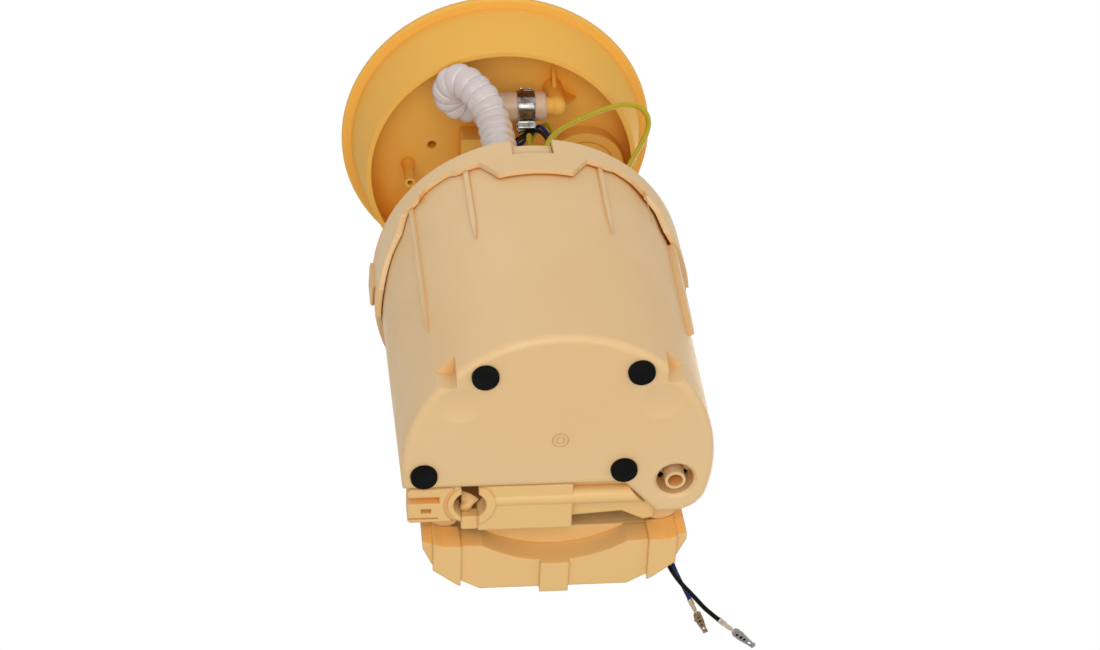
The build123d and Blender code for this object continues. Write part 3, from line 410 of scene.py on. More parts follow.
def moulded_plastic(name, colour, deep, painted_shade, rough=0.5, edge=0.0005, reach=(0.1, 0.62), shine=0.5,
                    gap=0.007, guard=("Position", "Z", 0.02, 0.03)):
    """Satin moulded acetal: tone drift, flow marks, fine grain, soft edges, and warm shade painted into
    hollows and gaps.

    reach gives the shares of open sky between which a piece's own hollows turn to the painted shade colour.
    gap is how near a neighbour has to be for the painted shade between parts to count too, and guard the
    position or normal from which that painted shade starts to count and counts in full, which keeps it off
    the faces that only look at the floor.
    """
    kit = Nodes(name)
    drift = kit.noise(9.0, 2.0)
    flow = kit.noise(38.0, 4.0, 0.6)
    tone = kit.mix(kit.span(drift, 0.3, 0.7, 0.0, 1.0), colour, deep)
    # painted warm shade where the piece's own hollows close in
    hollow = kit.occlusion(HOLLOW_REACH, True)
    tone = kit.mix(kit.span(hollow, reach[0], reach[1], 1.0, 0.0), tone, painted_shade)
    # painted warm shade in narrow gaps to neighbouring parts, kept off the faces that only look at the floor
    source, axis, none, full = guard
    level = kit.axes(kit.add("ShaderNodeNewGeometry").outputs[source])[axis]
    share = kit.add("ShaderNodeMath", operation="MULTIPLY")
    kit.link(kit.span(kit.occlusion(gap, False), 0.1, 0.7, 1.0, 0.0), share.inputs[0])
    kit.link(kit.span(level, none, full, 0.0, 1.0), share.inputs[1])
    tone = kit.mix(share.outputs[0], tone, painted_shade)
    dust = kit.span(kit.noise(900.0, 2.0), 0.66, 0.8, 0.0, 0.22)
    speck = kit.mix(dust, tone, tuple(0.55 * c for c in deep))
    rough_map = kit.span(flow, 0.3, 0.7, rough - 0.06, rough + 0.07)
    normal = kit.bump(kit.noise(2600.0, 2.0), 0.12, 0.00006, kit.rounded_edges(edge))
    normal = kit.bump(flow, 0.10, 0.0003, normal)
    kit.set(Base_Color=speck, Roughness=rough_map, Normal=normal, IOR=1.48, Specular_IOR_Level=shine,
            Subsurface_Weight=0.12, Subsurface_Radius=(1.0, 0.55, 0.25), Subsurface_Scale=0.0015)
    return kit.material


def rubber(name, colour):
    """Black moulded rubber with a dusty bloom."""
    kit = Nodes(name)
    bloom = kit.span(kit.noise(160.0, 5.0, 0.65), 0.45, 0.75, 0.0, 1.0)
    tone = kit.mix(bloom, colour, tuple(c + 0.006 for c in colour))
    normal = kit.bump(kit.noise(3000.0, 3.0), 0.25, 0.00008, kit.rounded_edges(0.0003))
    kit.set(Base_Color=tone, Roughness=kit.span(bloom, 0.0, 1.0, 0.6, 0.85), Normal=normal,
            Specular_IOR_Level=0.06)
    return kit.material


CUFF_TINT_X = (-0.0045, -0.0005)


def milky_nylon(name):
    """Translucent hose: light soaks in, the thin valleys get a painted glow, and the cuff over the barb looks
    warmer.
    """
    kit = Nodes(name)
    cloud = kit.span(kit.noise(90.0, 3.0), 0.3, 0.7, 0.0, 1.0)
    tone = kit.mix(cloud, (0.63, 0.55, 0.53), (0.68, 0.60, 0.585))
    # painted glow: the valleys between crests are lightened as if lit through the thin wall
    rib = kit.add("ShaderNodeAttribute", attribute_name="crest").outputs["Fac"]
    tone = kit.mix(kit.span(rib, 0.0, 0.45, 1.0, 0.0), tone, (0.86, 0.80, 0.79))
    cuff = kit.span(kit.axes(kit.place)["X"], *CUFF_TINT_X, 0.0, 0.9)
    tone = kit.mix(cuff, tone, (0.70, 0.475, 0.29))
    normal = kit.bump(kit.noise(500.0, 2.0), 0.12, 0.0002)
    kit.set(Base_Color=tone, Roughness=kit.span(cloud, 0.0, 1.0, 0.30, 0.42), Normal=normal, IOR=1.5,
            Subsurface_Weight=0.35, Subsurface_Radius=(1.0, 0.95, 0.95), Subsurface_Scale=0.002,
            Transmission_Weight=0.10)
    return kit.material


def steel(name, colour, rough, streak=(1.0, 1.0, 1.0), stain=None):
    """Rolled or drawn steel: fine streaks, a little tarnish, softened edges."""
    kit = Nodes(name)
    stretch = kit.add("ShaderNodeMapping")
    stretch.inputs["Scale"].default_value = streak
    kit.link(kit.place, stretch.inputs["Vector"])
    lines = kit.noise(900.0, 4.0, 0.6, stretch.outputs["Vector"])
    patch = kit.span(kit.noise(220.0, 4.0, 0.6), 0.45, 0.7, 0.0, 1.0)
    tone = kit.mix(patch, colour, stain or tuple(0.72 * c for c in colour))
    normal = kit.bump(lines, 0.10, 0.00004, kit.rounded_edges(0.00025))
    kit.set(Base_Color=tone, Metallic=1.0, Roughness=kit.span(lines, 0.3, 0.7, rough - 0.07, rough + 0.1),
            Normal=normal)
    return kit.material


def tinned(name, crimp, contact):
    """Tinned strip of a terminal: bright on the crimp, duller on the boxed contact."""
    kit = Nodes(name)
    kind = kit.add("ShaderNodeAttribute", attribute_name="contact").outputs["Fac"]
    tone = kit.mix(kind, crimp, contact)
    stain = kit.span(kit.noise(900.0, 3.0, 0.6), 0.50, 0.66, 0.0, 0.5)
    tone = kit.mix(stain, tone, tuple(0.3 * c for c in contact))
    normal = kit.bump(kit.noise(1500.0, 3.0), 0.15, 0.00005)
    kit.set(Base_Color=tone, Metallic=1.0, Roughness=0.33, Normal=normal)
    return kit.material


def insulation(name, colour, sheen=0.3):
    """Extruded wire insulation with scuffs; sheen says how much of the light its skin throws back."""
    kit = Nodes(name)
    scuff = kit.span(kit.noise(420.0, 4.0, 0.7), 0.52, 0.72, 0.0, 1.0)
    tone = kit.mix(scuff, colour, tuple(min(1.0, 1.25 * c + 0.004) for c in colour))
    normal = kit.bump(kit.noise(700.0, 2.0), 0.12, 0.00008)
    kit.set(Base_Color=tone, Roughness=kit.span(scuff, 0.0, 1.0, 0.35, 0.55), Normal=normal,
            Specular_IOR_Level=sheen)
    return kit.material


def fabric(name, colour, pitch):
    """Woven mesh or folded paper: two crossing waves of threads."""
    kit = Nodes(name)
    waves = []
    for direction in ("X", "Y"):
        wave = kit.add("ShaderNodeTexWave", wave_type="BANDS", bands_direction=direction)
        wave.inputs["Scale"].default_value = pitch
        kit.link(kit.place, wave.inputs["Vector"])
        waves.append(wave.outputs["Color"])
    threads = kit.mix(1.0, waves[0], waves[1], "MULTIPLY")
    tone = kit.mix(threads, tuple(0.6 * c for c in colour), colour)
    kit.set(Base_Color=tone, Roughness=0.8, Normal=kit.bump(threads, 0.4, 0.0002))
    return kit.material


def carbon(name, colour):
    """Pressed carbon or sintered iron: dark, grainy."""
    kit = Nodes(name)
    tone = kit.mix(kit.noise(1500.0, 3.0), colour, tuple(c * 2.2 for c in colour))
    kit.set(Base_Color=tone, Roughness=kit.span(kit.noise(300.0), 0.3, 0.7, 0.45, 0.7),
            Normal=kit.bump(kit.noise(2500.0), 0.3, 0.0001))
    return kit.material


# The third colour given to each moulded plastic is the warm shade painted into its hollows and gaps.
materials = {
    "tan_acetal": moulded_plastic("tan_acetal", (0.725, 0.495, 0.245), (0.70, 0.465, 0.22),
                                  (0.78, 0.36, 0.07), edge=0.0007),
    "flange_acetal": moulded_plastic("flange_acetal", (0.84, 0.47, 0.097), (0.81, 0.435, 0.082),
                                     (0.84, 0.37, 0.03), reach=(0.1, 0.85), shine=0.12, rough=0.6),
    "dark_acetal": moulded_plastic("dark_acetal", (0.030, 0.030, 0.034), (0.02, 0.02, 0.022),
                                   (0.02, 0.02, 0.02)),
    "rubber": rubber("rubber", (0.0025, 0.0024, 0.0022)),
    "filter_paper": fabric("filter_paper", (0.80, 0.72, 0.52), 120.0),
    "strainer_mesh": fabric("strainer_mesh", (0.82, 0.80, 0.74), 400.0),
    "hose_nylon": milky_nylon("hose_nylon"),
    "clamp_steel": steel("clamp_steel", (0.31, 0.29, 0.27), 0.22, (0.1, 1.0, 1.0), (0.10, 0.085, 0.07)),
    "spring_steel": steel("spring_steel", (0.42, 0.42, 0.43), 0.30),
    "polished_steel": steel("polished_steel", (0.66, 0.66, 0.67), 0.18, (1.0, 1.0, 0.06)),
    "brass": steel("brass", (0.72, 0.50, 0.20), 0.28),
    "magnet": carbon("magnet", (0.05, 0.05, 0.055)),
    "armature_steel": carbon("armature_steel", (0.12, 0.115, 0.11)),
    "carbon": carbon("carbon", (0.012, 0.012, 0.012)),
    "yellow_insulation": insulation("yellow_insulation", (0.44, 0.335, 0.008), 0.2),
    "blue_insulation": insulation("blue_insulation", (0.004, 0.020, 0.125), 0.12),
    "black_insulation": insulation("black_insulation", (0.003, 0.0026, 0.0024), 0.07),
    "terminal_tin": steel("terminal_tin", (0.58, 0.52, 0.45), 0.34, stain=(0.24, 0.19, 0.15)),
}

# The pieces low on the filter side get a slightly deeper, warmer tan and a brighter warm shade painted into
# their hollows. The filter's lid and housing also get warm shade painted within a wider gap, but only on the
# faces that look at the reservoir (normal towards -Y).
DEEPER_TAN_AND_SHADE = {
    "colour": (0.75, 0.475, 0.185), "deep": (0.725, 0.45, 0.17), "painted_shade": (0.92, 0.47, 0.11), "edge": 0.0010,
}
deeper_tan = moulded_plastic("tan_acetal_deep", **DEEPER_TAN_AND_SHADE)
deeper_tan_gap_shade = moulded_plastic("tan_acetal_gap_shade", **DEEPER_TAN_AND_SHADE, gap=0.016, guard=("Normal", "Y", -0.1, -0.4))
NODE_MATERIALS = {
    "filter_cap": deeper_tan_gap_shade, "filter_housing": deeper_tan_gap_shade, "sender_mount": deeper_tan,
    "jet_pump_body": deeper_tan,
}


# ---------------------------------------------------------------- free sender leads

BLUE_RADIUS = 0.00085
BLACK_RADIUS = 0.00095
BLUE_LENGTH = 0.122
BLACK_LENGTH = 0.142
BLUE_LEAD = [
    (0.0518, 0.0510, 0.1145), (0.0524, 0.0516, 0.0840), (0.0514, 0.0514, 0.0540), (0.0516, 0.0520, 0.0280),
    (0.0510, 0.0556, 0.0116), (0.0532, 0.0594, 0.0060), (0.0562, 0.0648, 0.0037), (0.0583, 0.0694, 0.0032),
]
BLACK_LEAD = [
    (0.0488, 0.0534, 0.1145), (0.0482, 0.0538, 0.0820), (0.0490, 0.0534, 0.0520), (0.0484, 0.0538, 0.0240),
    (0.0488, 0.0542, 0.0080), (0.0530, 0.0582, 0.0011), (0.0594, 0.0662, 0.0011), (0.0652, 0.0740, 0.0011),
    (0.0704, 0.0790, 0.0011),
]

# Terminal in its lead's axes, in millimetres: x ahead of the insulation's end, y to its left, z up.
CONTACT_FLOOR = -0.60
CONTACT_LID = 0.70
CONTACT_SHEET = 0.20
CONTACT_OUTER = [
    (9.0, 0.80), (9.5, 1.30), (10.4, 1.66), (13.4, 1.70), (15.4, 1.50), (18.4, 1.12), (20.6, 0.90),
    (21.0, 1.08), (21.4, 1.00),
]
CONTACT_INNER = [
    (9.2, 0.58), (9.7, 1.06), (10.6, 1.43), (13.4, 1.47), (15.4, 1.27), (18.4, 0.89), (20.2, 0.62),
]
LOCKING_TANG = [(12.0, 1.62), (13.9, 1.62), (12.9, 2.15), (12.4, 2.15)]
CRIMP_SIDES = 28
CRIMP_SEAM = 0.16
CRIMP_UNDER_WIRE = 0.07
CONTACT_TONE_X = 8.4
CONTACT_TONE_RUN = 0.8


def sheet(outline, holes, low, high):
    """Flat piece cut from sheet, in local axes: an outline with holes between two heights, in millimetres."""
    curve = bpy.data.curves.new("sheet", "CURVE")
    curve.dimensions = "2D"
    curve.fill_mode = "BOTH"
    curve.extrude = (high - low) / 2 * MM
    for loop in [outline] + holes:
        spline = curve.splines.new("POLY")
        spline.points.add(len(loop) - 1)
        for point, (x, y) in zip(spline.points, loop):
            point.co = (x * MM, y * MM, 0, 1)
        spline.use_cyclic_u = True
    piece = bpy.data.objects.new("sheet", curve)
    mesh = bpy.data.meshes.new_from_object(piece)
    bpy.data.objects.remove(piece)
    mesh.transform(Matrix.Translation((0, 0, (low + high) / 2 * MM)))
    return mesh


def mirrored(side):
    """Closed outline from its left half, given from the back to the front."""
    return side + [(x, -y) for x, y in reversed(side)]


def round_hole(x, y, radius, stretch=1.0):
    """Twelve-sided hole, stretched along x."""
    return [(x + stretch * radius * math.cos(math.radians(a)), y + radius * math.sin(math.radians(a)))
            for a in range(0, 360, 30)]


def rolled_crimp(wire):
    """Crimped barrel: squashed rings along x with a seam groove on top, where its two wings meet."""
    # x, half width, half height and middle height of each ring, from the insulation wings to the contact
    stations = [
        (-0.3, wire + 0.16, wire + 0.14, 0.0), (-0.1, wire + 0.30, wire + 0.22, 0.0),
        (1.2, wire + 0.36, wire + 0.22, 0.0), (3.6, wire + 0.34, wire + 0.16, 0.0),
        (4.0, wire + 0.22, wire - 0.02, -0.06), (4.4, wire + 0.02, wire - 0.16, -0.10),
        (4.8, wire + 0.12, wire - 0.12, -0.10), (6.6, wire + 0.08, wire - 0.16, -0.12),
        (7.6, wire - 0.04, wire - 0.24, -0.14), (8.2, wire - 0.30, wire - 0.42, -0.20),
        (8.9, wire - 0.32, wire - 0.48, -0.24), (9.4, wire - 0.02, wire - 0.36, -0.20),
    ]
    vertices = []
    for x, half_width, half_height, middle in stations:
        for side in range(CRIMP_SIDES):
            angle = 2 * math.pi * side / CRIMP_SIDES + math.pi / 2
            from_seam = (angle - math.pi / 2 + math.pi) % (2 * math.pi) - math.pi
            groove = CRIMP_SEAM * math.exp(-from_seam ** 2 / 0.09)
            y = half_width * math.cos(angle)
            z = middle + (half_height - groove) * math.sin(angle)
            vertices.append((x * MM, y * MM, z * MM))
    rows = len(stations)
    return mesh_of("crimp", vertices, grid_faces(rows, CRIMP_SIDES) + end_faces(rows, CRIMP_SIDES))


def make_terminal(name, route, radius, holes, side_tang, reach, metal):
    """Crimp terminal: insulation wings, conductor wings, a pinched neck and a boxed, tapering contact."""
    end = Vector(route[-1])
    ahead = (end - Vector(route[-2])).normalized()
    beside = Vector((-ahead.y, ahead.x, 0)).normalized()
    turn = Matrix((ahead, beside, ahead.cross(beside))).transposed().to_4x4()
    local = Matrix.Translation(end) @ turn @ Matrix.Diagonal((reach, 1, 1, 1))
    roof_low = CONTACT_LID - CONTACT_SHEET
    parts = [
        rolled_crimp(radius / MM - CRIMP_UNDER_WIRE),
        sheet(mirrored(CONTACT_OUTER), [mirrored(CONTACT_INNER)], CONTACT_FLOOR, CONTACT_LID),
        sheet(mirrored(CONTACT_INNER), holes, CONTACT_FLOOR, CONTACT_FLOOR + CONTACT_SHEET),
        # a short roof over the crimp's end, and a longer one over the contact that stops short of its tip
        sheet(mirrored(CONTACT_INNER[:3]), [], roof_low, CONTACT_LID),
        sheet(mirrored(CONTACT_INNER[2:6]), [], roof_low, CONTACT_LID - 0.02),
    ]
    # the roof's two folded lips, and the tang that locks in the housing
    for side in (-1, 1):
        lip = [(10.2, side * 1.0), (12.0, side * 1.0), (12.0, side * 1.2), (10.2, side * 1.55)]
        parts.append(sheet(lip, [], CONTACT_LID - 0.05, CONTACT_LID + 0.3))
    if side_tang:
        parts.append(sheet(LOCKING_TANG, [], CONTACT_FLOOR + 0.1, CONTACT_FLOOR + 0.5))
    joined = bmesh.new()
    for part in parts:
        joined.from_mesh(part)
    data = bpy.data.meshes.new(name)
    joined.to_mesh(data)
    joined.free()
    kind = data.attributes.new("contact", "FLOAT", "POINT")
    for vertex, value in zip(data.vertices, kind.data):
        share = (vertex.co.x / MM - CONTACT_TONE_X) / CONTACT_TONE_RUN
        value.value = min(1.0, max(0.0, share))
    data.transform(local)
    piece = add_object(name, data, metal, smooth=False)
    soften_edges(piece, 0.00005)
    return piece


def make_lead(word, route, radius, length, **terminal_form):
    """Free lead with its terminal. Its length is not used."""
    lead = curve_of("lead_" + word, route)
    lead.data.bevel_depth = radius
    lead.data.bevel_resolution = 6
    lead.data.use_fill_caps = True
    lead.data.materials.append(materials[word + "_insulation"])
    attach(lead, "reservoir")
    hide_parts("sender_lead_" + word)
    terminal = make_terminal("terminal_" + word, route, radius, **terminal_form)
    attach(terminal, "reservoir")
    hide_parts("sender_terminal_" + word)


make_lead(
    "blue", BLUE_LEAD, BLUE_RADIUS, BLUE_LENGTH,
    holes=[round_hole(11.6, 0.0, 0.52, 1.1), round_hole(14.0, 0.0, 0.66), round_hole(16.4, 0.0, 0.58),
           round_hole(18.7, 0.0, 0.42, 1.6)],
    side_tang=True, reach=0.83,
    metal=tinned("terminal_tin_brown", (0.50, 0.38, 0.27), (0.25, 0.165, 0.105)),
)
make_lead(
    "black", BLACK_LEAD, BLACK_RADIUS, BLACK_LENGTH,
    holes=[round_hole(11.4, 0.3, 0.58, 1.2), round_hole(13.6, 0.1, 0.70), round_hole(15.5, 0.0, 0.62),
           mirrored([(16.8, 0.16), (17.4, 0.50), (18.8, 0.46), (20.0, 0.12)])],
    side_tang=False, reach=1.0,
    metal=tinned("terminal_tin_grey", (0.52, 0.43, 0.34), (0.26, 0.245, 0.235)),
)


# ---------------------------------------------------------------- held hose and harness wires

HOSE_RADIUS = 0.0075
HOSE_VALLEY = 0.0058
HOSE_PITCH = 0.0051
RIDGE_RINGS = 16
RIDGE_POWER = 0.55
HOSE_SIDES = 48
HOSE_ROUTE = [
    (-0.0030, -0.0326, 0.2200), (-0.0196, -0.0328, 0.2198), (-0.0260, -0.0428, 0.2168),
    (-0.0204, -0.0535, 0.2108), (-0.0096, -0.0484, 0.1980), (-0.0056, -0.0384, 0.1865),
    (-0.0052, -0.0348, 0.1660), (-0.0050, -0.0345, 0.1220),
]
CUFF_SKIN = 0.0065
CUFF_END_X = 0.0187
CUFF_END_ROUND = 0.0006
CUFF_RINGS = 12
UPPER_EASE = 0.002
LOWER_EASE = 0.010
FOOT_STEP = 0.004
FOOT_RINGS = 4

YELLOW_RADIUS = 0.00115
THIN_RADIUS = 0.0006
WIRE_STEP = 0.0010
WIRE_SIDES = 16

HARNESS = {
    "harness_yellow": ("yellow", YELLOW_RADIUS, [
        (0.0080, -0.0080, 0.2250), (0.0080, -0.0080, 0.2195), (0.0176, -0.0234, 0.2200),
        (0.0203, -0.0270, 0.2115), (0.0204, -0.0288, 0.2010), (0.0202, -0.0302, 0.1870),
        (0.0164, -0.0298, 0.1500), (0.0160, -0.0304, 0.1140),
    ]),
    "harness_yellow_rear": ("yellow", YELLOW_RADIUS, [
        (0.0030, -0.0030, 0.2250), (0.0030, -0.0030, 0.2200), (0.0086, -0.0170, 0.2090),
        (0.0107, -0.0250, 0.2041), (0.0097, -0.0286, 0.2025), (0.0089, -0.0288, 0.1960),
        (0.0088, -0.0304, 0.1850), (0.0098, -0.0310, 0.1500), (0.0124, -0.0306, 0.1140),
    ]),
    "harness_yellow_loop": ("yellow", YELLOW_RADIUS, [
        (0.0122, -0.0340, 0.1140), (0.0122, -0.0348, 0.1380), (0.0124, -0.0368, 0.1620),
        (0.0146, -0.0384, 0.1786), (0.0210, -0.0404, 0.1860), (0.0300, -0.0420, 0.1916),
        (0.0394, -0.0428, 0.1970), (0.0494, -0.0428, 0.2024), (0.0574, -0.0404, 0.2054),
        (0.0622, -0.0364, 0.2040), (0.0616, -0.0332, 0.1970), (0.0570, -0.0318, 0.1860),
        (0.0490, -0.0304, 0.1700), (0.0446, -0.0286, 0.1540), (0.0440, -0.0280, 0.1385),
    ]),
    "harness_blue": ("blue", BLUE_RADIUS, [
        (0.0020, -0.0080, 0.2250), (0.0020, -0.0080, 0.2205), (0.0110, -0.0166, 0.2175),
        (0.0150, -0.0258, 0.2148), (0.0164, -0.0282, 0.2085), (0.0179, -0.0304, 0.1995),
        (0.0191, -0.0326, 0.1870), (0.0195, -0.0336, 0.1700), (0.0194, -0.0338, 0.1500),
        (0.0193, -0.0326, 0.1140),
    ]),
    "harness_black": ("black", BLACK_RADIUS, [
        (-0.0040, -0.0080, 0.2250), (-0.0040, -0.0080, 0.2205), (0.0040, -0.0185, 0.2128),
        (0.0126, -0.0266, 0.2096), (0.0152, -0.0294, 0.2030), (0.0164, -0.0322, 0.1936),
        (0.0168, -0.0350, 0.1800), (0.0166, -0.0366, 0.1600), (0.0166, -0.0354, 0.1140),
    ]),
    "harness_black_thin": ("black", THIN_RADIUS, [
        (0.0090, -0.0020, 0.2250), (0.0090, -0.0020, 0.2190), (0.0114, -0.0170, 0.2134),
        (0.0122, -0.0220, 0.2110), (0.0098, -0.0244, 0.2078), (0.0062, -0.0272, 0.2009),
        (0.0030, -0.0304, 0.1923), (0.0030, -0.0310, 0.1700), (0.0032, -0.0300, 0.1350),
        (0.0032, -0.0295, 0.1040),
    ]),
}


def make_hose():
    """Corrugated hose: round crests at an even pitch between two plain cuffs."""
    step = HOSE_PITCH / RIDGE_RINGS
    places = points_along(HOSE_ROUTE, step)
    radii = []
    crests = []
    for index in range(len(places)):
        reach = index * step
        left = (len(places) - 1 - index) * step
        across = 2 * (reach / HOSE_PITCH % 1.0) - 1
        wave = HOSE_VALLEY + (HOSE_RADIUS - HOSE_VALLEY) * (1 - across ** 2) ** RIDGE_POWER
        ease = min(1.0, reach / UPPER_EASE, left / LOWER_EASE)
        radii.append(CUFF_SKIN + ease * (wave - CUFF_SKIN))
        crests.append(1 - across ** 2)
    cuff_end = Vector((CUFF_END_X, places[0].y, places[0].z))
    cuff = [cuff_end.lerp(places[0], index / (CUFF_RINGS + 1)) for index in range(CUFF_RINGS + 1)]
    cuff_radii = [CUFF_SKIN - CUFF_END_ROUND] + [CUFF_SKIN] * CUFF_RINGS
    low = places[-1]
    foot = [Vector((low.x, low.y, low.z - FOOT_STEP * number)) for number in range(1, FOOT_RINGS + 1)]
    # the foot stays open, because the pump's nipple and its lifting check valve stand inside it
    mesh = rings_mesh("outlet_hose_skin", cuff + places + foot, cuff_radii + radii + [CUFF_SKIN] * FOOT_RINGS,
                      HOSE_SIDES, open_foot=True)
    # crest level of each ring, which the hose material reads to paint the valleys lighter as a glow
    crest = mesh.attributes.new("crest", "FLOAT", "POINT")
    levels = [1.0] * len(cuff) + crests + [1.0] * FOOT_RINGS
    crest.data.foreach_set("value", [level for level in levels for side in range(HOSE_SIDES)])
    hose = add_object("outlet_hose_skin", mesh, materials["hose_nylon"])
    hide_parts("outlet_hose")
    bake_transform(hose)


def make_wire(name):
    """Harness wire between the cover and the flange."""
    word, radius, route = HARNESS[name]
    places = points_along(route, WIRE_STEP)
    skin = rings_mesh(name, places, [radius] * len(places), WIRE_SIDES)
    wire = add_object(name + "_wire", skin, materials[word + "_insulation"])
    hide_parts(name)
    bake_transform(wire)


# ---------------------------------------------------------------- ear clamp on the hose's cuff

BAND_SHEET = 0.00062
BAND_GAP = 0.0003
BAND_PAST_NODE = 0.0008
TAIL_SHEET = 0.0005
TAIL_SPAN = (-0.0013, 0.0026)
HOOK_SHEET = 0.0006
HOOK_WIDTH = 0.0011
HOOK_SHIFTS = (-0.0022, 0.0016)
EAR_ANGLE = 41
EAR_OUTWARD = Vector((0, 0.8, -0.6))
EAR_FACING = Vector((0, -0.6, -0.8))
# half of the ear, from the band to the crown: crease, waist, belly, shoulder
EAR_LEG = [
    (0.00555, 0.00432), (0.00600, 0.00385), (0.00665, 0.00325), (0.00740, 0.00300), (0.00820, 0.00318),
    (0.00900, 0.00362), (0.00975, 0.00388), (0.01050, 0.00370), (0.01110, 0.00300), (0.01150, 0.00190),
    (0.01160, 0.00060),
]


def arc(radius, first, last, steps):
    """Points of an arc between two angles in degrees."""
    angles = [math.radians(first + (last - first) * index / steps) for index in range(steps + 1)]
    return [(radius * math.cos(angle), radius * math.sin(angle)) for angle in angles]


def build_strip(name, line, closed, left, right, thickness):
    """Strip of sheet that follows a line in the plane across X, with a real thickness and soft edges."""
    centre = Vector((0, HOSE_ROUTE[0][1], HOSE_ROUTE[0][2]))
    rim = 0.15 * (right - left)
    columns = [left, left + rim, right - rim, right]
    vertices = []
    for outward, facing in line:
        place = centre + outward * EAR_OUTWARD + facing * EAR_FACING
        vertices += [(x, place.y, place.z) for x in columns]
    faces = grid_faces(len(line), len(columns), closed_rows=closed, closed_columns=False)
    strip = add_object(name, mesh_of(name, vertices, faces), materials["clamp_steel"])
    thicken(strip, thickness)
    soften_edges(strip, 0.00012, angle=60)
    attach(strip, "flange")
    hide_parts("hose_clamp_upper")


def make_ear_clamp():
    """Ear clamp round the hose's cuff: a band, an overlapping tail, two hooks and a pinched, S-shaped ear."""
    low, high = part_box("hose_clamp_upper")
    left = low[0]
    right = high[0] + BAND_PAST_NODE
    middle = (left + right) / 2
    radius = CUFF_SKIN + BAND_GAP
    ear = [(out, -across) for out, across in EAR_LEG] + [(out, across) for out, across in reversed(EAR_LEG)]
    band = arc(radius, EAR_ANGLE, 360 - EAR_ANGLE, 72)
    build_strip("hose_clamp_band", band + ear, True, left, right, BAND_SHEET)
    tail = arc(radius + BAND_SHEET, 150, 234, 21)
    build_strip("hose_clamp_tail", tail, False, middle + TAIL_SPAN[0], middle + TAIL_SPAN[1], TAIL_SHEET)
    hook = arc(radius + HOOK_WIDTH, 176, 196, 5)
    for shift in HOOK_SHIFTS:
        build_strip("hose_clamp_hook", hook, False, middle + shift, middle + shift + HOOK_WIDTH, HOOK_SHEET)


# ---------------------------------------------------------------- small forms that ride on the reservoir

TONGUE_CENTRE = (0.0031, -0.0004)
TONGUE_OUTER = 0.0624
TONGUE_INNER = 0.0608
TONGUE_LOW = 0.1308
TONGUE_TOP = 0.1356
TONGUE_HALF_WIDTH = 0.00835
TONGUE_STEPS = 12

# Left and right end of each fold line of the leaf, from front to back.
LEAF_FOLDS = [
    ((-0.0332, 0.0154, 0.0095), (-0.0295, 0.0172, 0.0095)),
    ((-0.0332, 0.0202, 0.0086), (-0.0264, 0.0192, 0.0086)),
    ((-0.0337, 0.0210, 0.0070), (-0.0286, 0.0201, 0.0070)),
    ((-0.0338, 0.0218, 0.0066), (-0.0297, 0.0217, 0.0066)),
    ((-0.0330, 0.0257, 0.0080), (-0.0311, 0.0258, 0.0080)),
]
LEAF_SHEET = 0.0008


def make_window_tongue():
    """Top of the reservoir's front wall where it stands behind the cover's window."""
    section = ((TONGUE_OUTER, TONGUE_LOW), (TONGUE_OUTER, TONGUE_TOP), (TONGUE_INNER, TONGUE_TOP),
               (TONGUE_INNER, TONGUE_LOW))
    half = math.asin(TONGUE_HALF_WIDTH / TONGUE_OUTER)
    vertices = []
    for index in range(TONGUE_STEPS + 1):
        angle = -math.pi / 2 - half + 2 * half * index / TONGUE_STEPS
        for radius, z in section:
            x = TONGUE_CENTRE[0] + radius * math.cos(angle)
            y = TONGUE_CENTRE[1] + radius * math.sin(angle)
            vertices.append((x, y, z))
    rows = TONGUE_STEPS + 1
    mesh = mesh_of("window_tongue", vertices, grid_faces(rows, len(section)) + end_faces(rows, len(section)))
    tongue = add_object("window_tongue", mesh, materials["tan_acetal"], smooth=False)
    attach(tongue, "reservoir")


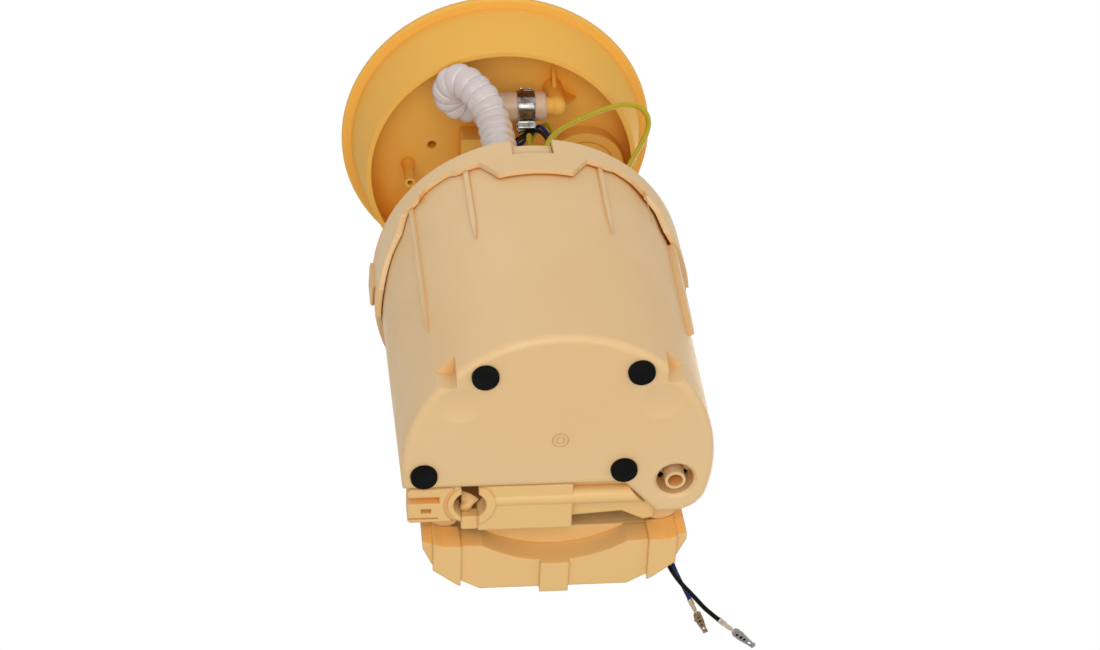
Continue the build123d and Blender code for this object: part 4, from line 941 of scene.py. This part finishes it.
def make_keyhole_leaf():
    """Bent leaf that half closes the keyhole of the jet pump's boss."""
    points = [point for fold in LEAF_FOLDS for point in fold]
    faces = [(2 * fold, 2 * fold + 1, 2 * fold + 3, 2 * fold + 2) for fold in range(len(LEAF_FOLDS) - 1)]
    leaf = add_object("keyhole_leaf", mesh_of("keyhole_leaf", points, faces), deeper_tan)
    soften_edges(leaf, 0.0002, segments=3, angle=10)
    thicken(leaf, LEAF_SHEET)
    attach(leaf, "reservoir")


# ---------------------------------------------------------------- springs round the guide rods

SPRING_WIRE = 0.0008
SPRING_RADIUS = 0.0050
SPRING_TURNS = 9.0
SPRING_POINTS = 720
SPRING_SIDES = 12
CLOSED_TURN = 0.8
CLOSED_RISE = 0.04


def make_spring(word):
    """Compression spring with closed, nearly flat end turns round a guide rod."""
    low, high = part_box("guide_spring_" + word)
    centre = Vector([(a + b) / 2 for a, b in zip(low, high)])
    bottom = low[2] + SPRING_WIRE
    top = high[2] - SPRING_WIRE
    places = []
    for index in range(SPRING_POINTS + 1):
        share = index / SPRING_POINTS
        turn = share * SPRING_TURNS
        eased = min(max((turn - CLOSED_TURN) / (SPRING_TURNS - 2 * CLOSED_TURN), 0.0), 1.0)
        rise = CLOSED_RISE * share + (1 - CLOSED_RISE) * eased
        angle = 2 * math.pi * turn
        x = centre[0] + SPRING_RADIUS * math.cos(angle)
        y = centre[1] + SPRING_RADIUS * math.sin(angle)
        places.append(Vector((x, y, bottom + rise * (top - bottom))))
    skin = rings_mesh("spring_" + word, places, [SPRING_WIRE] * len(places), SPRING_SIDES)
    spring = add_object("spring_" + word, skin, materials["spring_steel"])
    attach(spring, "reservoir")
    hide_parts("guide_spring_" + word)
    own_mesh(spring)


make_hose()
make_ear_clamp()
make_window_tongue()
make_keyhole_leaf()
for harness_name in HARNESS:
    make_wire(harness_name)
for spring_word in ("left", "right"):
    make_spring(spring_word)


# ---------------------------------------------------------------- materials on the CAD nodes

for row in frame["record"]["subparts"]:
    node = frame["nodes"][row["node"]]
    node.data.materials.clear()
    node.data.materials.append(NODE_MATERIALS.get(row["node"], materials[row["material_slot"]]))
